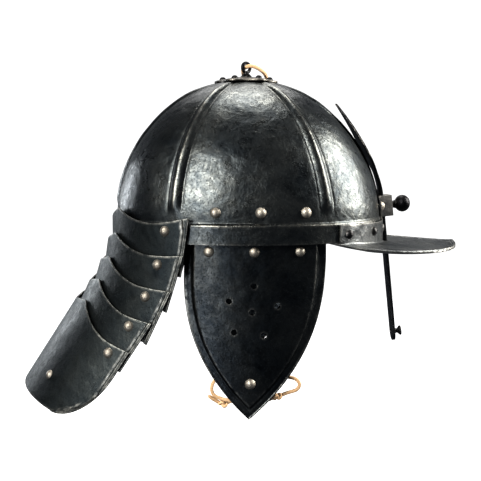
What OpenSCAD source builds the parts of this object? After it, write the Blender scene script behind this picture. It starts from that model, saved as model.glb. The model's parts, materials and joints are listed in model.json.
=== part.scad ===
// Lobster-tailed pot helmet with a sliding nasal bar, hinged cheekpieces and five neck lames.
// +X is forward, +Y is the wearer's left, +Z is up.
// The origin is the middle of the head opening, in the plane of the rim.

/* [Skull] */
// Half length of the bowl, without its ribs
skull_a = 119.9; // [110:0.5:130]
// Half width of the bowl, without its ribs
skull_b = 104; // [98:0.5:112]
// Height of the crown above the rim
skull_h = 141; // [130:1:150]
// Thickness of the steel plate of the bowl
skull_t = 1.6; // [1.2:0.1:2.2]
// Height of the raised ribs
rib_h = 3; // [1:0.5:4]
// Height of the stepped-out rim band
band_h = 17.5; // [12:0.5:20]

/* [Peak] */
// Distance from the origin to the tip of the peak
peak_reach = 189.8; // [175:1:200]
// Thickness of the peak plate
peak_t = 1.5; // [1.2:0.1:2]

/* [Nasal bar] */
// Width of the straight bar
bar_w = 16; // [12:0.5:18]
// Thickness of the straight bar
bar_t = 3; // [2.5:0.1:3.2]
// Lean of the bar from the vertical, in degrees
bar_lean = 6.1; // [4:0.1:7]
// Width of the leaf at the top of the bar
leaf_w = 34; // [24:1:40]
// Diameter of the thumbscrew shank
screw_d = 5; // [4:0.5:6]

/* [Cheekpieces] */
// Half width of a cheekpiece at the top
cheek_w = 58.7; // [50:0.1:60]
// Length of a cheekpiece from its top edge to its tip
cheek_len = 144.2; // [130:1:150]
// Diameter of the breaths
breath_d = 5; // [4:0.5:6]

/* [Neck lames] */
// Backward tilt that each lame adds to the one before, in degrees
lame_step_tilt = 8.25; // [7:0.25:9]
// Thickness of a lame
lame_t = 1.3; // [1:0.1:1.5]
// Length of the big tail lame below its rivets, at the middle
tail_len = 82.5; // [70:0.5:90]

/* [Leather] */
// Thickness of the hinge leathers and of the liner band
leather_t = 2.2; // [1.5:0.1:2.5]
// Diameter of the leather laces
lace_d = 3; // [2.5:0.1:3.5]

/* [Hidden] */

steel_dark = [0.16, 0.16, 0.17];
steel_black = [0.07, 0.07, 0.08];
steel_bright = [0.62, 0.60, 0.57];
leather_tan = [0.78, 0.52, 0.30];
leather_dark = [0.45, 0.28, 0.16];

// Bowl shape
plan_n = 2.15;                       // roundness of every plan outline, 2 is an ellipse
wall_z = 16;                         // height where the upright wall turns into the dome
dome_n = 1.87;                       // roundness of the dome in side view
rim_cx = -1.6;                       // middle of the bowl at the rim
crown_shift = -2.3;                  // how far the crown lies behind it
around = 96;                         // steps round the bowl, sixteen to each rib
step_side = 2;                       // how far the rim band stands out at the sides
step_end = 1;                        // and at the front and the back

// Slide line of the nasal bar: the front face passes through this point
bar_p = [126.2, 0, 0];
bracket_z = 26;                      // height of the thumbscrew along the bar
slot_gap = 0.5;                      // play round the bar in its slot and bracket

// Cheekpiece
cheek_y = 99.2;                      // outer face at the top, in the middle
cheek_flare = 4.5;                   // how much further out the tip hangs
cheek_t = 1.4;
cheek_top = 0.3;                     // height of the top edge
cheek_square = 14;                   // depth of the parallel part at the top
field_rise = 1.8;                    // height of the embossed field
border_w = 6.3;                      // width of the flat border
cheek_rivet_x = [-36.5, 0.5, 38];
cheek_rivet_z = -6;
side_rivet_x = [-31, 5.5, 42.5];
side_rivet_z = 26;
tip_rivet = [-3, -114];
breaths = [[0, -33.5], [-20, -46], [19, -50], [-1.5, -55], [-16, -71.5], [8, -74]];

// Neck lames, each in its own frame: e runs back from the rivet axis and s runs down
lame_count = 5;
pivot_1 = [-72.6, 10.4];             // x and z of the first rivet axis
pivot_e = 6.3;                       // the next axis, in the frame of the lame above
pivot_s = 27.5;
lame_a = 124.5;                      // half length of the plan outline of the first lame
lame_taper = 0.5;                    // how much shorter each further one is
lame_b = 108;                        // half width of the first one
lame_grow = 0.5;                     // how much wider each further lame is
lame_c = 70.6;                       // rivet axis to the middle of the outline
cusp_f = 25;                         // place of the cusps, in degrees from the back
cusp_s = -17;
notch_s = -4;
low_f = 50;
low_s = -6;
front_s = -11.5;
front_e = [-21, -21, -20, -17, -15];
front_slope = 0.15;
lame_low_side = 37;
lame_low_back = 30;
lame_rows = 5;
corner_e = 14;                       // where the round corner of the tail lame starts
tail_rivet_f = 34;                   // place of the tail rivets
tail_rivet_s = 51.6;
rivet_d = 5;

// Routes of the laces
thong_route = [
    [-2, 39, 131.5], [-3, 32.5, 135], [-4.2, 26, 141.5], [-5.2, 20, 143.5], [-6.3, 13.5, 147],
    [-6.7, 6.5, 150.5], [-3.9, 0, 152], [0.5, -4, 152.5], [5.5, -5, 151], [10, -3, 148.5],
    [13.2, 2, 146], [15, 9, 143.5], [16.2, 16.5, 141.5], [16.8, 24, 138.5], [15, 31.5, 136],
    [10.5, 38, 133], [4, 43, 129.5], [-4, 46, 128], [-12, 46, 128.5], [-19, 42.5, 129.5],
    [-23.5, 36.5, 131.5]
];
chin_route = [
    [-3, -97.5, -117], [3, -95, -113], [11, -93, -110.5], [20, -92, -110.5], [28.5, -92, -111.5],
    [35.5, -92, -113.5], [38.5, -92, -118], [36, -92, -122.5], [28.5, -92, -125],
    [20, -92.5, -128], [10, -93.5, -131], [-1, -94, -132.5], [-11, -94, -132.5],
    [-20, -93.5, -131], [-28, -93, -129], [-33.5, -93, -125.5], [-34.5, -93, -119],
    [-31, -93, -112.5], [-24, -92.5, -108], [-15.5, -91, -107.5], [-9, -89, -111.5],
    [-7.5, -88, -119.5], [-11.5, -88.5, -127.5], [-18.5, -89.5, -132.5], [-25.5, -90.5, -134.5],
    [-31.5, -91.5, -131.5], [-37.5, -92.5, -127]
];

// ---------- general shapes ----------

function spow(v, p) = sign(v) * pow(abs(v), p);
function oval(a, b, f) = [a * spow(cos(f), 2 / plan_n), b * spow(sin(f), 2 / plan_n)];
function oval_y(a, b, x) = b * pow(max(0, 1 - pow(abs(x) / a, plan_n)), 1 / plan_n);
function clamp01(v) = min(1, max(0, v));
function ease(v) = let(c = clamp01(v)) c * c * (3 - 2 * c);
function unit(v) = v / norm(v);
function mirror_y(grid) = [for (row = grid) [for (p = row) [p.x, -p.y, p.z]]];

// Two triangles of a four-sided patch
function quad(a, b, c, d) = [[a, b, c], [a, c, d]];

// A closed plate between an outer and an inner grid of points.
// Seen from outside, the rows run to the right and each row runs down.
module plate(outer, inner) {
    n = len(outer);
    m = len(outer[0]);
    k = n * m;
    polyhedron(
        points = concat([for (r = outer) each r], [for (r = inner) each r]),
        faces = concat(
            [for (i = [0 : n - 2], j = [0 : m - 2]) let(p = i * m + j)
                each quad(p, p + m, p + m + 1, p + 1)],
            [for (i = [0 : n - 2], j = [0 : m - 2]) let(p = k + i * m + j)
                each quad(p, p + 1, p + m + 1, p + m)],
            [for (i = [0 : n - 2]) let(p = i * m) each quad(p, p + k, p + k + m, p + m)],
            [for (i = [0 : n - 2]) let(p = i * m + m - 1) each quad(p, p + m, p + m + k, p + k)],
            [for (j = [0 : m - 2]) each quad(j, j + 1, j + 1 + k, j + k)],
            [for (j = [0 : m - 2]) let(p = (n - 1) * m + j) each quad(p, p + k, p + k + 1, p + 1)]
        ),
        convexity = 8
    );
}

// A ring-shaped solid swept round: rings of equal length, closed both ways
module closed_shell(rings) {
    n = len(rings);
    m = len(rings[0]);
    polyhedron(
        points = [for (r = rings) each r],
        faces = [for (i = [0 : n - 1], j = [0 : m - 1])
            let(i2 = (i + 1) % n, j2 = (j + 1) % m)
            each quad(i * m + j, i2 * m + j, i2 * m + j2, i * m + j2)],
        convexity = 8
    );
}

// A round cord along a route, with a ring at each of its points
module cord(route, d, sides = 8) {
    n = len(route);
    tangents = [for (i = [0 : n - 1])
        unit(route[min(i + 1, n - 1)] - route[max(i - 1, 0)])];
    // each side direction is the one before, squared up to the new tangent
    sideways = [for (i = 0, s = unit(cross(tangents[0], [0.3, 0.9, 0.31])); i < n;
        i = i + 1, s = i < n ? unit(s - tangents[i] * (s * tangents[i])) : s) s];
    polyhedron(
        points = [for (i = [0 : n - 1], j = [0 : sides - 1])
            let(f = 360 * j / sides)
            route[i] + d / 2 * (cos(f) * sideways[i] + sin(f) * cross(tangents[i], sideways[i]))],
        faces = concat(
            [[for (j = [0 : sides - 1]) j]],
            [[for (j = [sides - 1 : -1 : 0]) (n - 1) * sides + j]],
            [for (i = [0 : n - 2], j = [0 : sides - 1])
                let(j2 = (j + 1) % sides)
                each quad(i * sides + j, (i + 1) * sides + j,
                    (i + 1) * sides + j2, i * sides + j2)]
        ),
        convexity = 8
    );
}

// Turns the Z axis towards a direction
module face_to(direction) {
    d = unit(direction);
    rotate([0, acos(d.z), atan2(d.y, d.x)]) children();
}

// A domed rivet that stands on the plane z = 0, with its shank below
module rivet(head_d, head_h, shank_d, shank_l) {
    rotate_extrude($fn = 32) intersection() {
        r = (head_d * head_d / 4 + head_h * head_h) / (2 * head_h);
        translate([0, head_h - r]) circle(r = r, $fn = 64);
        square([head_d, head_h]);
    }
    translate([0, 0, -shank_l]) cylinder(d = shank_d, h = shank_l + head_h / 2, $fn = 24);
}

module washer(d, bore, t) {
    difference() {
        cylinder(d = d, h = t, $fn = 32);
        translate([0, 0, -1]) cylinder(d = bore, h = t + 2, $fn = 24);
    }
}

// ---------- bowl ----------

function dome_k(z) = z <= wall_z ? 1
    : pow(1 - pow(clamp01((z - wall_z) / (skull_h - wall_z)), dome_n), 1 / dome_n);
function bowl_cx(z) = rim_cx + crown_shift * z / skull_h;
function rib_fade(z) = ease((z - 28) / 22) * ease((skull_h + 4 - z) / 8);
function on_rib(i) = i % (around / 6) == 0 ? 1 : 0;
// How far the rim band stands out, at angle f from the front
function band_step(f) = step_end + (step_side - step_end) * pow(abs(sin(f)), 2);

// A point of the bowl at height z, grown by g, with ribs of height h
function bowl_point(z, i, g, h) =
    let(f = 360 * i / around, k = dome_k(z), p = oval(skull_a, skull_b, f) * k,
        out = unit([cos(f), sin(f)]) * (g + h * rib_fade(z) * on_rib(i)))
    [bowl_cx(z) + p.x + out.x, p.y + out.y, z];

function bowl_ring(z, g, h) = [for (i = [0 : around - 1]) bowl_point(z, i, g, h)];
function band_ring(z, g) = [for (i = [0 : around - 1])
    bowl_point(z, i, g + band_step(360 * i / around), 0)];
// Round hole at the crown for the stem of the finial
function stem_ring(z) = [for (i = [0 : around - 1]) let(f = 360 * i / around)
    [crown_x + stem_hole / 2 * cos(f), stem_hole / 2 * sin(f), z]];
// The surface of the bowl's side at a place x, at height z
function bowl_side_y(x, z) = oval_y(skull_a * dome_k(z), skull_b * dome_k(z), x - bowl_cx(z));

dome_levels = [20, 30, 42, 56, 70, 84, 97, 108, 118, 127, 134, 138.6];
apex_level = 140.4;                  // last full ring below the crown
stem_hole = 5.1;

module bowl_shell() {
    closed_shell(concat(
        [band_ring(0, 0), band_ring(band_h - 2, 0), bowl_ring(band_h + 1, 0, 0)],
        [for (z = dome_levels) bowl_ring(z, 0, rib_h)],
        [bowl_ring(apex_level, 0, 0), stem_ring(skull_h), stem_ring(skull_h - skull_t)],
        [bowl_ring(apex_level - skull_t, -1, 0)],
        [for (j = [len(dome_levels) - 1 : -1 : 0])
            let(z = dome_levels[j], drop = skull_t * z / skull_h)
            bowl_ring(z - drop, -skull_t * (1 - 0.5 * z / skull_h), rib_h)],
        [bowl_ring(band_h + 0.6, -skull_t, 0), band_ring(band_h - 2.4, -skull_t),
            band_ring(0, -skull_t)]
    ));
}

module skull_bowl() {
    color(steel_dark) difference() {
        bowl_shell();
        for (side = [-1, 1], x = side_rivet_x)
            at_side(x, side_rivet_z, side) translate([0, 0, -8]) cylinder(d = 4, h = 16, $fn = 24);
        for (f = finial_angles) at_crown(f) translate([0, 0, -9]) cylinder(d = 2.6, h = 14, $fn = 24);
        for (f = peak_rivet_f, side = [-1, 1])
            at_flange(f * side) translate([0, 0, -8]) cylinder(d = 4, h = 14, $fn = 24);
        for (side = [-1, 1]) on_bar() at_bracket_ear(side)
            translate([0, 0, -9]) cylinder(d = 4, h = 16, $fn = 24);
        translate([pivot_1.x, 0, pivot_1.y]) rotate([90, 0, 0])
            cylinder(d = rivet_d + 0.12, h = 240, center = true, $fn = 24);
    }
}

// Places a child on the bowl's side, facing out
module at_side(x, z, side) {
    y = bowl_side_y(x, z);
    slope = bowl_side_y(x + 1, z) - bowl_side_y(x - 1, z);
    lean = bowl_side_y(x, z + 1) - bowl_side_y(x, z - 1);
    translate([x, side * y, z]) face_to([-slope / 2, side, -lean / 2]) children();
}

module side_rivets(side) {
    color(steel_bright) for (x = side_rivet_x) at_side(x, side_rivet_z, side)
        translate([0, 0, 0.05]) rivet(9, 3.2, 4, 10.9);
}
module side_washers(side) {
    color(steel_dark) for (x = side_rivet_x) at_side(x, side_rivet_z, side)
        translate([0, 0, -10.5]) washer(10, 4, 1);
}
module side_rivets_right() { side_rivets(-1); }
module side_rivets_left() { side_rivets(1); }
module side_washers_right() { side_washers(-1); }
module side_washers_left() { side_washers(1); }

// ---------- finial ----------

crown_x = bowl_cx(skull_h);
finial_r = 27;
finial_rivet_r = 21.5;
finial_angles = [for (k = [0 : 5]) k * 60];
finial_z = 141.5;
plate_t = 1.4;

// The dished plate drops towards its edge as the crown does
function finial_drop(r) = 3.7 * pow(r / finial_r, 2);
function lobe(f) = 1 + 0.07 * cos(6 * f);

module at_crown(f) {
    slope = atan(2 * finial_drop(finial_rivet_r) / finial_rivet_r);
    translate([crown_x, 0, 0]) rotate([0, 0, f])
        translate([finial_rivet_r, 0, finial_z + plate_t - finial_drop(finial_rivet_r)])
            rotate([0, slope, 0]) children();
}

module finial_plate() {
    radii = [3.2, 8, 14, 20, 24, finial_r];
    count = 48;
    ring = function(r, dz) [for (i = [0 : count - 1])
        let(f = 360 * i / count, k = r * (1 + (lobe(f) - 1) * ease((r - 12) / 14)))
        [crown_x + k * cos(f), k * sin(f) * 0.96, finial_z - finial_drop(r) + dz]];
    color(steel_dark) difference() {
        closed_shell(concat(
            [for (j = [len(radii) - 1 : -1 : 0]) ring(radii[j], plate_t)],
            [for (r = radii) ring(r, 0)]
        ));
        for (f = finial_angles) at_crown(f) translate([0, 0, -6]) cylinder(d = 2.6, h = 9, $fn = 24);
    }
}

module finial_rivets() {
    color(steel_black) for (f = finial_angles) at_crown(f) translate([0, 0, 0.28]) rivet(6, 2.2, 2.6, 5.2);
}

module finial_eye() {
    color(steel_black) translate([crown_x, 0, 0]) {
        translate([0, 0, 135]) cylinder(d = 5, h = 9, $fn = 32);
        translate([0, 0, finial_z + plate_t + 0.1]) cylinder(d1 = 11, d2 = 6, h = 2.6, $fn = 48);
        translate([0, 0, 144]) cylinder(d1 = 6, d2 = 4.4, h = 4, $fn = 32);
        translate([0, 0, 151.4]) rotate([0, 0, 35]) rotate([90, 0, 0])
            rotate_extrude($fn = 48) translate([4.2, 0]) circle(d = 3, $fn = 24);
    }
}

module finial_nut() {
    color(steel_dark) translate([crown_x, 0, 135.8]) difference() {
        cylinder(d = 13, h = 3, $fn = 6);
        translate([0, 0, -1]) cylinder(d = 5, h = 6, $fn = 32);
    }
}

module hanging_thong() { color(leather_tan) cord(thong_route, 3.2); }

// ---------- liner ----------

liner_a = skull_a - 6.4;
liner_b = skull_b - 6.4;

function liner_ring(z, g) = [for (i = [0 : 63]) let(p = oval(liner_a + g, liner_b + g, 360 * i / 64))
    [bowl_cx(z) + p.x, p.y, z]];

module liner_band() {
    color(leather_dark) difference() {
        closed_shell([
            liner_ring(14, 0), liner_ring(34, -0.8),
            liner_ring(34, -0.8 - leather_t), liner_ring(14, -leather_t)
        ]);
        for (side = [-1, 1], x = side_rivet_x)
            at_side(x, side_rivet_z, side) translate([0, 0, -14]) cylinder(d = 4, h = 16, $fn = 24);
    }
}

// Eight tongues rise from the band and follow the inside of the bowl
module liner_tongues() {
    levels = [35, 48, 62, 76, 90, 103, 114, 123];
    count = 8;
    color(leather_dark) for (k = [0 : count - 1]) {
        mid = 360 * (k + 0.5) / count;
        grid = function(g) [for (j = [0 : 4]) [for (m = [len(levels) - 1 : -1 : 0])
            let(z = levels[m], up = m / (len(levels) - 1),
                f = mid + (j - 2) * (9.6 - 2 * up + 1.5 * up * up),
                p = oval(skull_a + g, skull_b + g, f) * dome_k(z + 8 * up))
            [bowl_cx(z) + p.x - 3.5 * cos(f) * (1 - up), p.y - 3.5 * sin(f) * (1 - up), z]]];
        plate(grid(-4.2), grid(-6.2));
    }
}

module liner_lace() {
    color(leather_tan) translate([bowl_cx(123), 0, 126.5])
        rotate_extrude($fn = 64) translate([34, 0]) circle(d = 2.6, $fn = 16);
}

// ---------- peak ----------

flange_gap = 0.5;
flange_a = skull_a + step_end + flange_gap;
flange_b = skull_b + step_side + flange_gap;
peak_f = [for (i = [-16 : 16]) i * 55 / 16];
peak_rivet_f = [11, 31, 50];
brim_root_x = 62;                    // where the brim starts to leave the flange
brim_half = 90;                      // half width of the brim outline
brim_tip_z = -6.6;                   // height of the brim at its tip

function crease_z(x) = 1 - 7.2 * clamp01((x - 69) / 51);
function flange_top(f) = 14.5 - 0.5 * cos(3 * f);
function brim_edge(f) = let(k = clamp01(abs(f) / 55), e = 90 * pow(k, 1.05))
    [brim_root_x + (peak_reach - brim_root_x) * cos(e), sign(f) * brim_half * sin(e)];
function brim_z(f) = let(k = abs(f) / 55) brim_tip_z - 3.4 * sin(180 * pow(k, 0.8)) + 7.9 * pow(k, 7);
function flange_xy(f, g) = let(p = oval(flange_a + g, flange_b + g, f)) [rim_cx + p.x, p.y];

// One cross-section of the peak: down the flange and out along the brim
function peak_row(f, lower) =
    let(c = flange_xy(f, lower ? 0 : peak_t), z = crease_z(c.x), e = brim_edge(f),
        drop = lower ? peak_t : 0, top = flange_top(f))
    [[c.x, c.y, top], [c.x, c.y, (top + z) / 2], [c.x, c.y, z + 0.9 - drop],
        each [for (u = [0.25, 0.5, 0.75, 1]) let(q = c + (e - c) * u)
            [q.x, q.y, z * (1 - u) + brim_z(f) * u - drop - 0.4 * sin(180 * u)]]];

module peak() {
    color(steel_dark) difference() {
        plate([for (f = peak_f) peak_row(f, false)], [for (f = peak_f) peak_row(f, true)]);
        on_bar() translate([-bar_t - slot_gap, -bar_w / 2 - slot_gap, -20])
            cube([bar_t + 2 * slot_gap, bar_w + 2 * slot_gap, 34]);
        for (f = peak_rivet_f, side = [-1, 1])
            at_flange(f * side) translate([0, 0, -4]) cylinder(d = 4, h = 8, $fn = 24);
    }
}

module at_flange(f) {
    p = flange_xy(f, peak_t);
    d = flange_xy(f + 1, peak_t) - flange_xy(f - 1, peak_t);
    translate([p.x, p.y, 7]) face_to([d.y, -d.x, 0]) children();
}

module peak_rivets() {
    color(steel_black) for (f = peak_rivet_f, side = [-1, 1])
        at_flange(f * side) translate([0, 0, 0.1]) rivet(8, f < 20 ? 1.6 : 2.8, 4, 6);
}

// ---------- nasal bar, bracket and thumbscrew ----------

// The frame of the slide: X is out of the bar's front face, Z is up along the bar
module on_bar() {
    translate(bar_p) rotate([0, -bar_lean, 0]) children();
}

bar_foot = -102;
bar_top = 38;
bridge_half = 11.5;                  // half width of the bridge over the bar
bridge_t = 6.8;                      // its reach in front of the bar's face
bracket_back = 4.6;                  // and behind it, down to the bowl

module straight_bar() {
    on_bar() {
        translate([-bar_t, -bar_w / 2, bar_foot + bar_w / 2])
            cube([bar_t, bar_w, bar_top - bar_foot - bar_w / 2 + 1]);
        translate([-bar_t, 0, bar_foot + bar_w / 2]) rotate([0, 90, 0])
            cylinder(d = bar_w, h = bar_t, $fn = 64);
    }
}

// The leaf bends back over the bowl; its points are in the slide frame
leaf_len = 92;
function leaf_back(s) = 34 * pow(clamp01(s / leaf_len), 1.55);
function leaf_half(s) = s < 20 ? bar_w / 2
    : bar_w / 2 + (leaf_w - bar_w) / 2 * ease((s - 20) / 18)
        - leaf_w / 2 * 0.97 * pow(clamp01((s - 36) / (leaf_len - 36)), 1.7);
leaf_s = [0, 8, 15, 20, 25, 30, 35, 40, 47, 54, 61, 68, 75, 82, 88, leaf_len];

module leaf() {
    grid = function(g) [for (j = [-4 : 4]) [for (m = [len(leaf_s) - 1 : -1 : 0])
        let(s = leaf_s[m], y = leaf_half(s) * j / 4, thick = bar_t - 1 * clamp01(s / 30),
            wrap = y * y / 260 * ease((s - 15) / 25))
        [-leaf_back(s) - g * thick - wrap, y, bar_top + s * 0.93]]];
    on_bar() plate(grid(0), grid(1));
}

module nasal_bar() {
    color(steel_black) difference() {
        union() {
            straight_bar();
            leaf();
        }
        on_bar() translate([-10, 0, -93.5]) rotate([0, 90, 0]) cylinder(d = 3.5, h = 20, $fn = 24);
    }
}

module nasal_button() {
    color(steel_black) on_bar() translate([0, 0, -93.5]) rotate([0, 90, 0]) {
        translate([0, 0, -bar_t - 0.8]) cylinder(d = 3.5, h = bar_t + 2, $fn = 24);
        translate([0, 0, 0.1]) cylinder(d1 = 5.5, d2 = 4, h = 2.6, $fn = 32);
        translate([0, 0, 2.7]) cylinder(d1 = 4, d2 = 9, h = 2.4, $fn = 32);
        translate([0, 0, 5.1]) cylinder(d = 9, h = 1.2, $fn = 32);
    }
}

module at_bracket_ear(side) {
    translate([-6.6, side * 17.5, bracket_z + 1]) rotate([0, 0, side * 9])
        rotate([0, 90, 0]) children();
}

module nasal_bracket() {
    color(steel_bright) on_bar() difference() {
        union() {
            translate([-bracket_back, -bridge_half, bracket_z - 9.5])
                cube([bridge_t + bracket_back, 2 * bridge_half, 19]);
            for (side = [-1, 1]) at_bracket_ear(side) linear_extrude(1.8)
                polygon([[-9, -side * 8], [-8, side * 5], [3, side * 6.5], [12, side * 1],
                    [9, -side * 8]]);
        }
        translate([-bar_t - 5, -bar_w / 2 - slot_gap, bracket_z - 30])
            cube([bar_t + 5 + slot_gap, bar_w + 2 * slot_gap, 60]);
        translate([-1, 0, bracket_z]) rotate([0, 90, 0])
            cylinder(d = screw_d + 0.1, h = 20, $fn = 32);
        for (side = [-1, 1]) at_bracket_ear(side)
            translate([0, 0, -3]) cylinder(d = 4, h = 8, $fn = 24);
    }
}

module bracket_rivets() {
    color(steel_bright) for (side = [-1, 1]) on_bar() at_bracket_ear(side)
        translate([0, 0, 1.85]) rivet(8.5, 3, 4, 5);
}

module thumbscrew_shank() {
    color(steel_black) on_bar() translate([0.9, 0, bracket_z]) rotate([0, 90, 0])
        cylinder(d = screw_d, h = 16.5, $fn = 32);
}

// A round knob with a short neck
module thumbscrew_knob() {
    color(steel_black) on_bar() translate([9, 0, bracket_z]) rotate([0, 90, 0]) difference() {
        union() {
            translate([0, 0, 0.2]) cylinder(d1 = 6.4, d2 = 8, h = 2.4, $fn = 48);
            translate([0, 0, 9]) rotate_extrude($fn = 48) intersection() {
                scale([1, 0.92]) circle(d = 15.6, $fn = 64);
                translate([0, -6.8]) square([8, 13.6]);
            }
        }
        translate([0, 0, -1]) cylinder(d = screw_d, h = 9.4, $fn = 32);
    }
}

// ---------- cheekpieces ----------

function cheek_mid(z) = 1.7 - 5.7 * clamp01((-z - cheek_square) / (cheek_len - cheek_square));
function cheek_half(z) = max(1.2, cheek_w
    * (1 - pow(clamp01((-z - cheek_square) / (cheek_len - cheek_square)), 2.5)));
function cheek_base(x, z) = (cheek_y + cheek_flare * clamp01(-z / cheek_len))
    * pow(1 - pow(abs(x + 2) / 118, 2), 0.5);
// Height of the embossed field, from the distance to the border
function cheek_rise(x, z) =
    let(d = (cheek_half(z) - abs(x - cheek_mid(z))) * 0.86, low = (cheek_len + z) * 0.75)
    field_rise * ease((min(d, low) - border_w) / 2);

cheek_z = [cheek_top, -7, -14, -24, -34, -44, -54, -64, -73, -82, -90, -98, -105, -112, -118,
    -124, -130, -135, -139.5, -142.5, -cheek_len];
cheek_cols = [-1, -0.91, -0.87, -0.83, -0.7, -0.5, -0.25, 0, 0.25, 0.5, 0.7, 0.83, 0.87, 0.91, 1];

// The right-hand cheekpiece; depth is measured inwards from its outer face
function cheek_point(x, z, depth) = [x, -(cheek_base(x, z) + cheek_rise(x, z) - depth), z];
function cheek_grid(depth) = [for (c = cheek_cols) [for (z = cheek_z)
    cheek_point(cheek_mid(z) + c * cheek_half(z), z, depth)]];

module at_cheek(x, z) {
    slope = cheek_base(x + 1, z) - cheek_base(x - 1, z);
    p = cheek_point(x, z, 0);
    translate(p) face_to([-slope / 2, -1, 0]) children();
}

module cheek_plate() {
    color(steel_dark) difference() {
        plate(cheek_grid(0), cheek_grid(cheek_t));
        for (b = breaths) at_cheek(b.x, b.y)
            translate([0, 0, -5]) cylinder(d = breath_d, h = 10, $fn = 24);
        for (x = cheek_rivet_x) at_cheek(x, cheek_rivet_z)
            translate([0, 0, -5]) cylinder(d = 3.6, h = 10, $fn = 24);
        at_cheek(tip_rivet.x, tip_rivet.y) translate([0, 0, -5]) cylinder(d = 3.6, h = 10, $fn = 24);
    }
}

module cheek_rivets() {
    color(steel_bright) for (x = cheek_rivet_x) at_cheek(x, cheek_rivet_z)
        translate([0, 0, 0.15]) rivet(8.6, 2.6, 3.6, cheek_t + leather_t + 1.2);
}

module tip_rivet_one() {
    color(steel_bright) at_cheek(tip_rivet.x, tip_rivet.y)
        translate([0, 0, 0.25]) rivet(9, 3, 3.6, cheek_t + 3.4);
}

// Leather tab inside the tip, with an ear that the lace hangs from
module lace_tab() {
    color(leather_dark) at_cheek(tip_rivet.x, tip_rivet.y)
        translate([0, 0, -cheek_t - 2.5]) difference() {
            cylinder(d = 15, h = 2.1, $fn = 48);
            translate([0, 0, -1]) cylinder(d = 3.6, h = 5, $fn = 24);
        }
}

leather_half = 47;
leather_x = [for (j = [-6 : 6]) 2 + j * leather_half / 6];

module hinge_lower() {
    grid = function(d) [for (x = leather_x) [for (z = [cheek_top, -5, -10, -15])
        cheek_point(x, z, cheek_t + 0.25 + d)]];
    color(leather_dark) difference() {
        plate(grid(0), grid(leather_t));
        for (x = cheek_rivet_x) at_cheek(x, cheek_rivet_z)
            translate([0, 0, -8]) cylinder(d = 3.6, h = 12, $fn = 24);
    }
}

// The upper half lies against the bowl and leans in towards the fold
module hinge_upper() {
    levels = [34, 26, 18, 12, 7, 3.6];
    wall = function(x, z) bowl_side_y(x, max(z, wall_z)) - skull_t - 0.4;
    fold = function(x) cheek_base(x, 0) - cheek_t - 0.25;
    grid = function(d) [for (x = leather_x) [for (z = levels)
        let(k = ease((z - 3) / 14)) [x, -(wall(x, z) * k + fold(x) * (1 - k) - d), z]]];
    color(leather_dark) difference() {
        plate(grid(0), grid(leather_t));
        for (x = side_rivet_x) at_side(x, side_rivet_z, -1)
            translate([0, 0, -10]) cylinder(d = 4, h = 16, $fn = 24);
    }
}

module chin_lace() { color(leather_tan) cord(chin_route, lace_d); }

module left() { mirror([0, 1, 0]) children(); }

module cheek_plate_right() { cheek_plate(); }
module cheek_plate_left() { left() cheek_plate(); }
module cheek_rivets_right() { cheek_rivets(); }
module cheek_rivets_left() { left() cheek_rivets(); }
module tip_rivet_right() { tip_rivet_one(); }
module tip_rivet_left() { left() tip_rivet_one(); }
module lace_tab_right() { lace_tab(); }
module lace_tab_left() { left() lace_tab(); }
module hinge_leather_lower_right() { hinge_lower(); }
module hinge_leather_lower_left() { left() hinge_lower(); }
module hinge_leather_upper_right() { hinge_upper(); }
module hinge_leather_upper_left() { left() hinge_upper(); }
module chin_lace_right() { chin_lace(); }
module chin_lace_left() { left() chin_lace(); }

// ---------- neck lames ----------

function lame_tilt(i) = i * lame_step_tilt;
function lame_dir_e(i) = [-cos(lame_tilt(i)), sin(lame_tilt(i))];
function lame_dir_s(i) = [-sin(lame_tilt(i)), -cos(lame_tilt(i))];
function lame_pivot(i) = i == 0 ? pivot_1
    : lame_pivot(i - 1) + pivot_e * lame_dir_e(i - 1) + pivot_s * lame_dir_s(i - 1);
function lame_half(i) = lame_b + lame_grow * i;
function lame_len(i) = lame_a - lame_taper * i;
// Lean of the front edge; the tail's is straight down to its round corner
function edge_slope(i) = i == lame_count - 1 ? 0 : front_slope;

// Angle from the back at which the outline is e behind the rivet axis
function angle_at(i, e) = acos(pow((e + lame_c) / lame_len(i), plan_n / 2));
function lame_top(f, f_front) = f < cusp_f ? notch_s + (cusp_s - notch_s) * pow(f / cusp_f, 1.2)
    : f < low_f ? low_s + (cusp_s - low_s) * pow((low_f - f) / (low_f - cusp_f), 1.8)
    : low_s + (front_s - low_s) * pow((f - low_f) / (f_front - low_f), 1.5);
function tail_e(f) = lame_len(lame_count - 1) * pow(cos(f), 2 / plan_n) - lame_c;
// The tail lame is longer, with big round lower corners at the front
function tail_low(f) = let(e = tail_e(f), q = clamp01((corner_e - e) / 29))
    tail_len - 0.3 * (52 - e) - 48.5 * (1 - sqrt(1 - q * q));
function lame_low(i, f, f_front) = i == lame_count - 1 ? max(12, tail_low(f))
    : lame_low_back + (lame_low_side - lame_low_back) * pow(f / f_front, 2);

// A point of lame i at angle f from the back and s below the rivet axis, inset by g
function lame_point(i, f, s, g) =
    let(p = [(lame_len(i) - g) * pow(cos(f), 2 / plan_n) - lame_c,
            (lame_half(i) - g) * spow(sin(f), 2 / plan_n)],
        q = lame_pivot(i) + p.x * lame_dir_e(i) + s * lame_dir_s(i))
    [q.x, p.y, q.y];

lame_steps = concat([for (k = [0 : 2]) k * cusp_f / 3],
    [for (k = [0 : 5]) cusp_f + k * (low_f - cusp_f) / 6]);

// Half of the angles of lame i, from the back to its front edge; the tail's corner needs more
function lame_angles(i) = let(last = angle_at(i, front_e[i]), n = i == lame_count - 1 ? 7 : 4)
    concat(lame_steps, [for (k = [0 : n]) low_f + k * (last - low_f) / n]);

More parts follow.
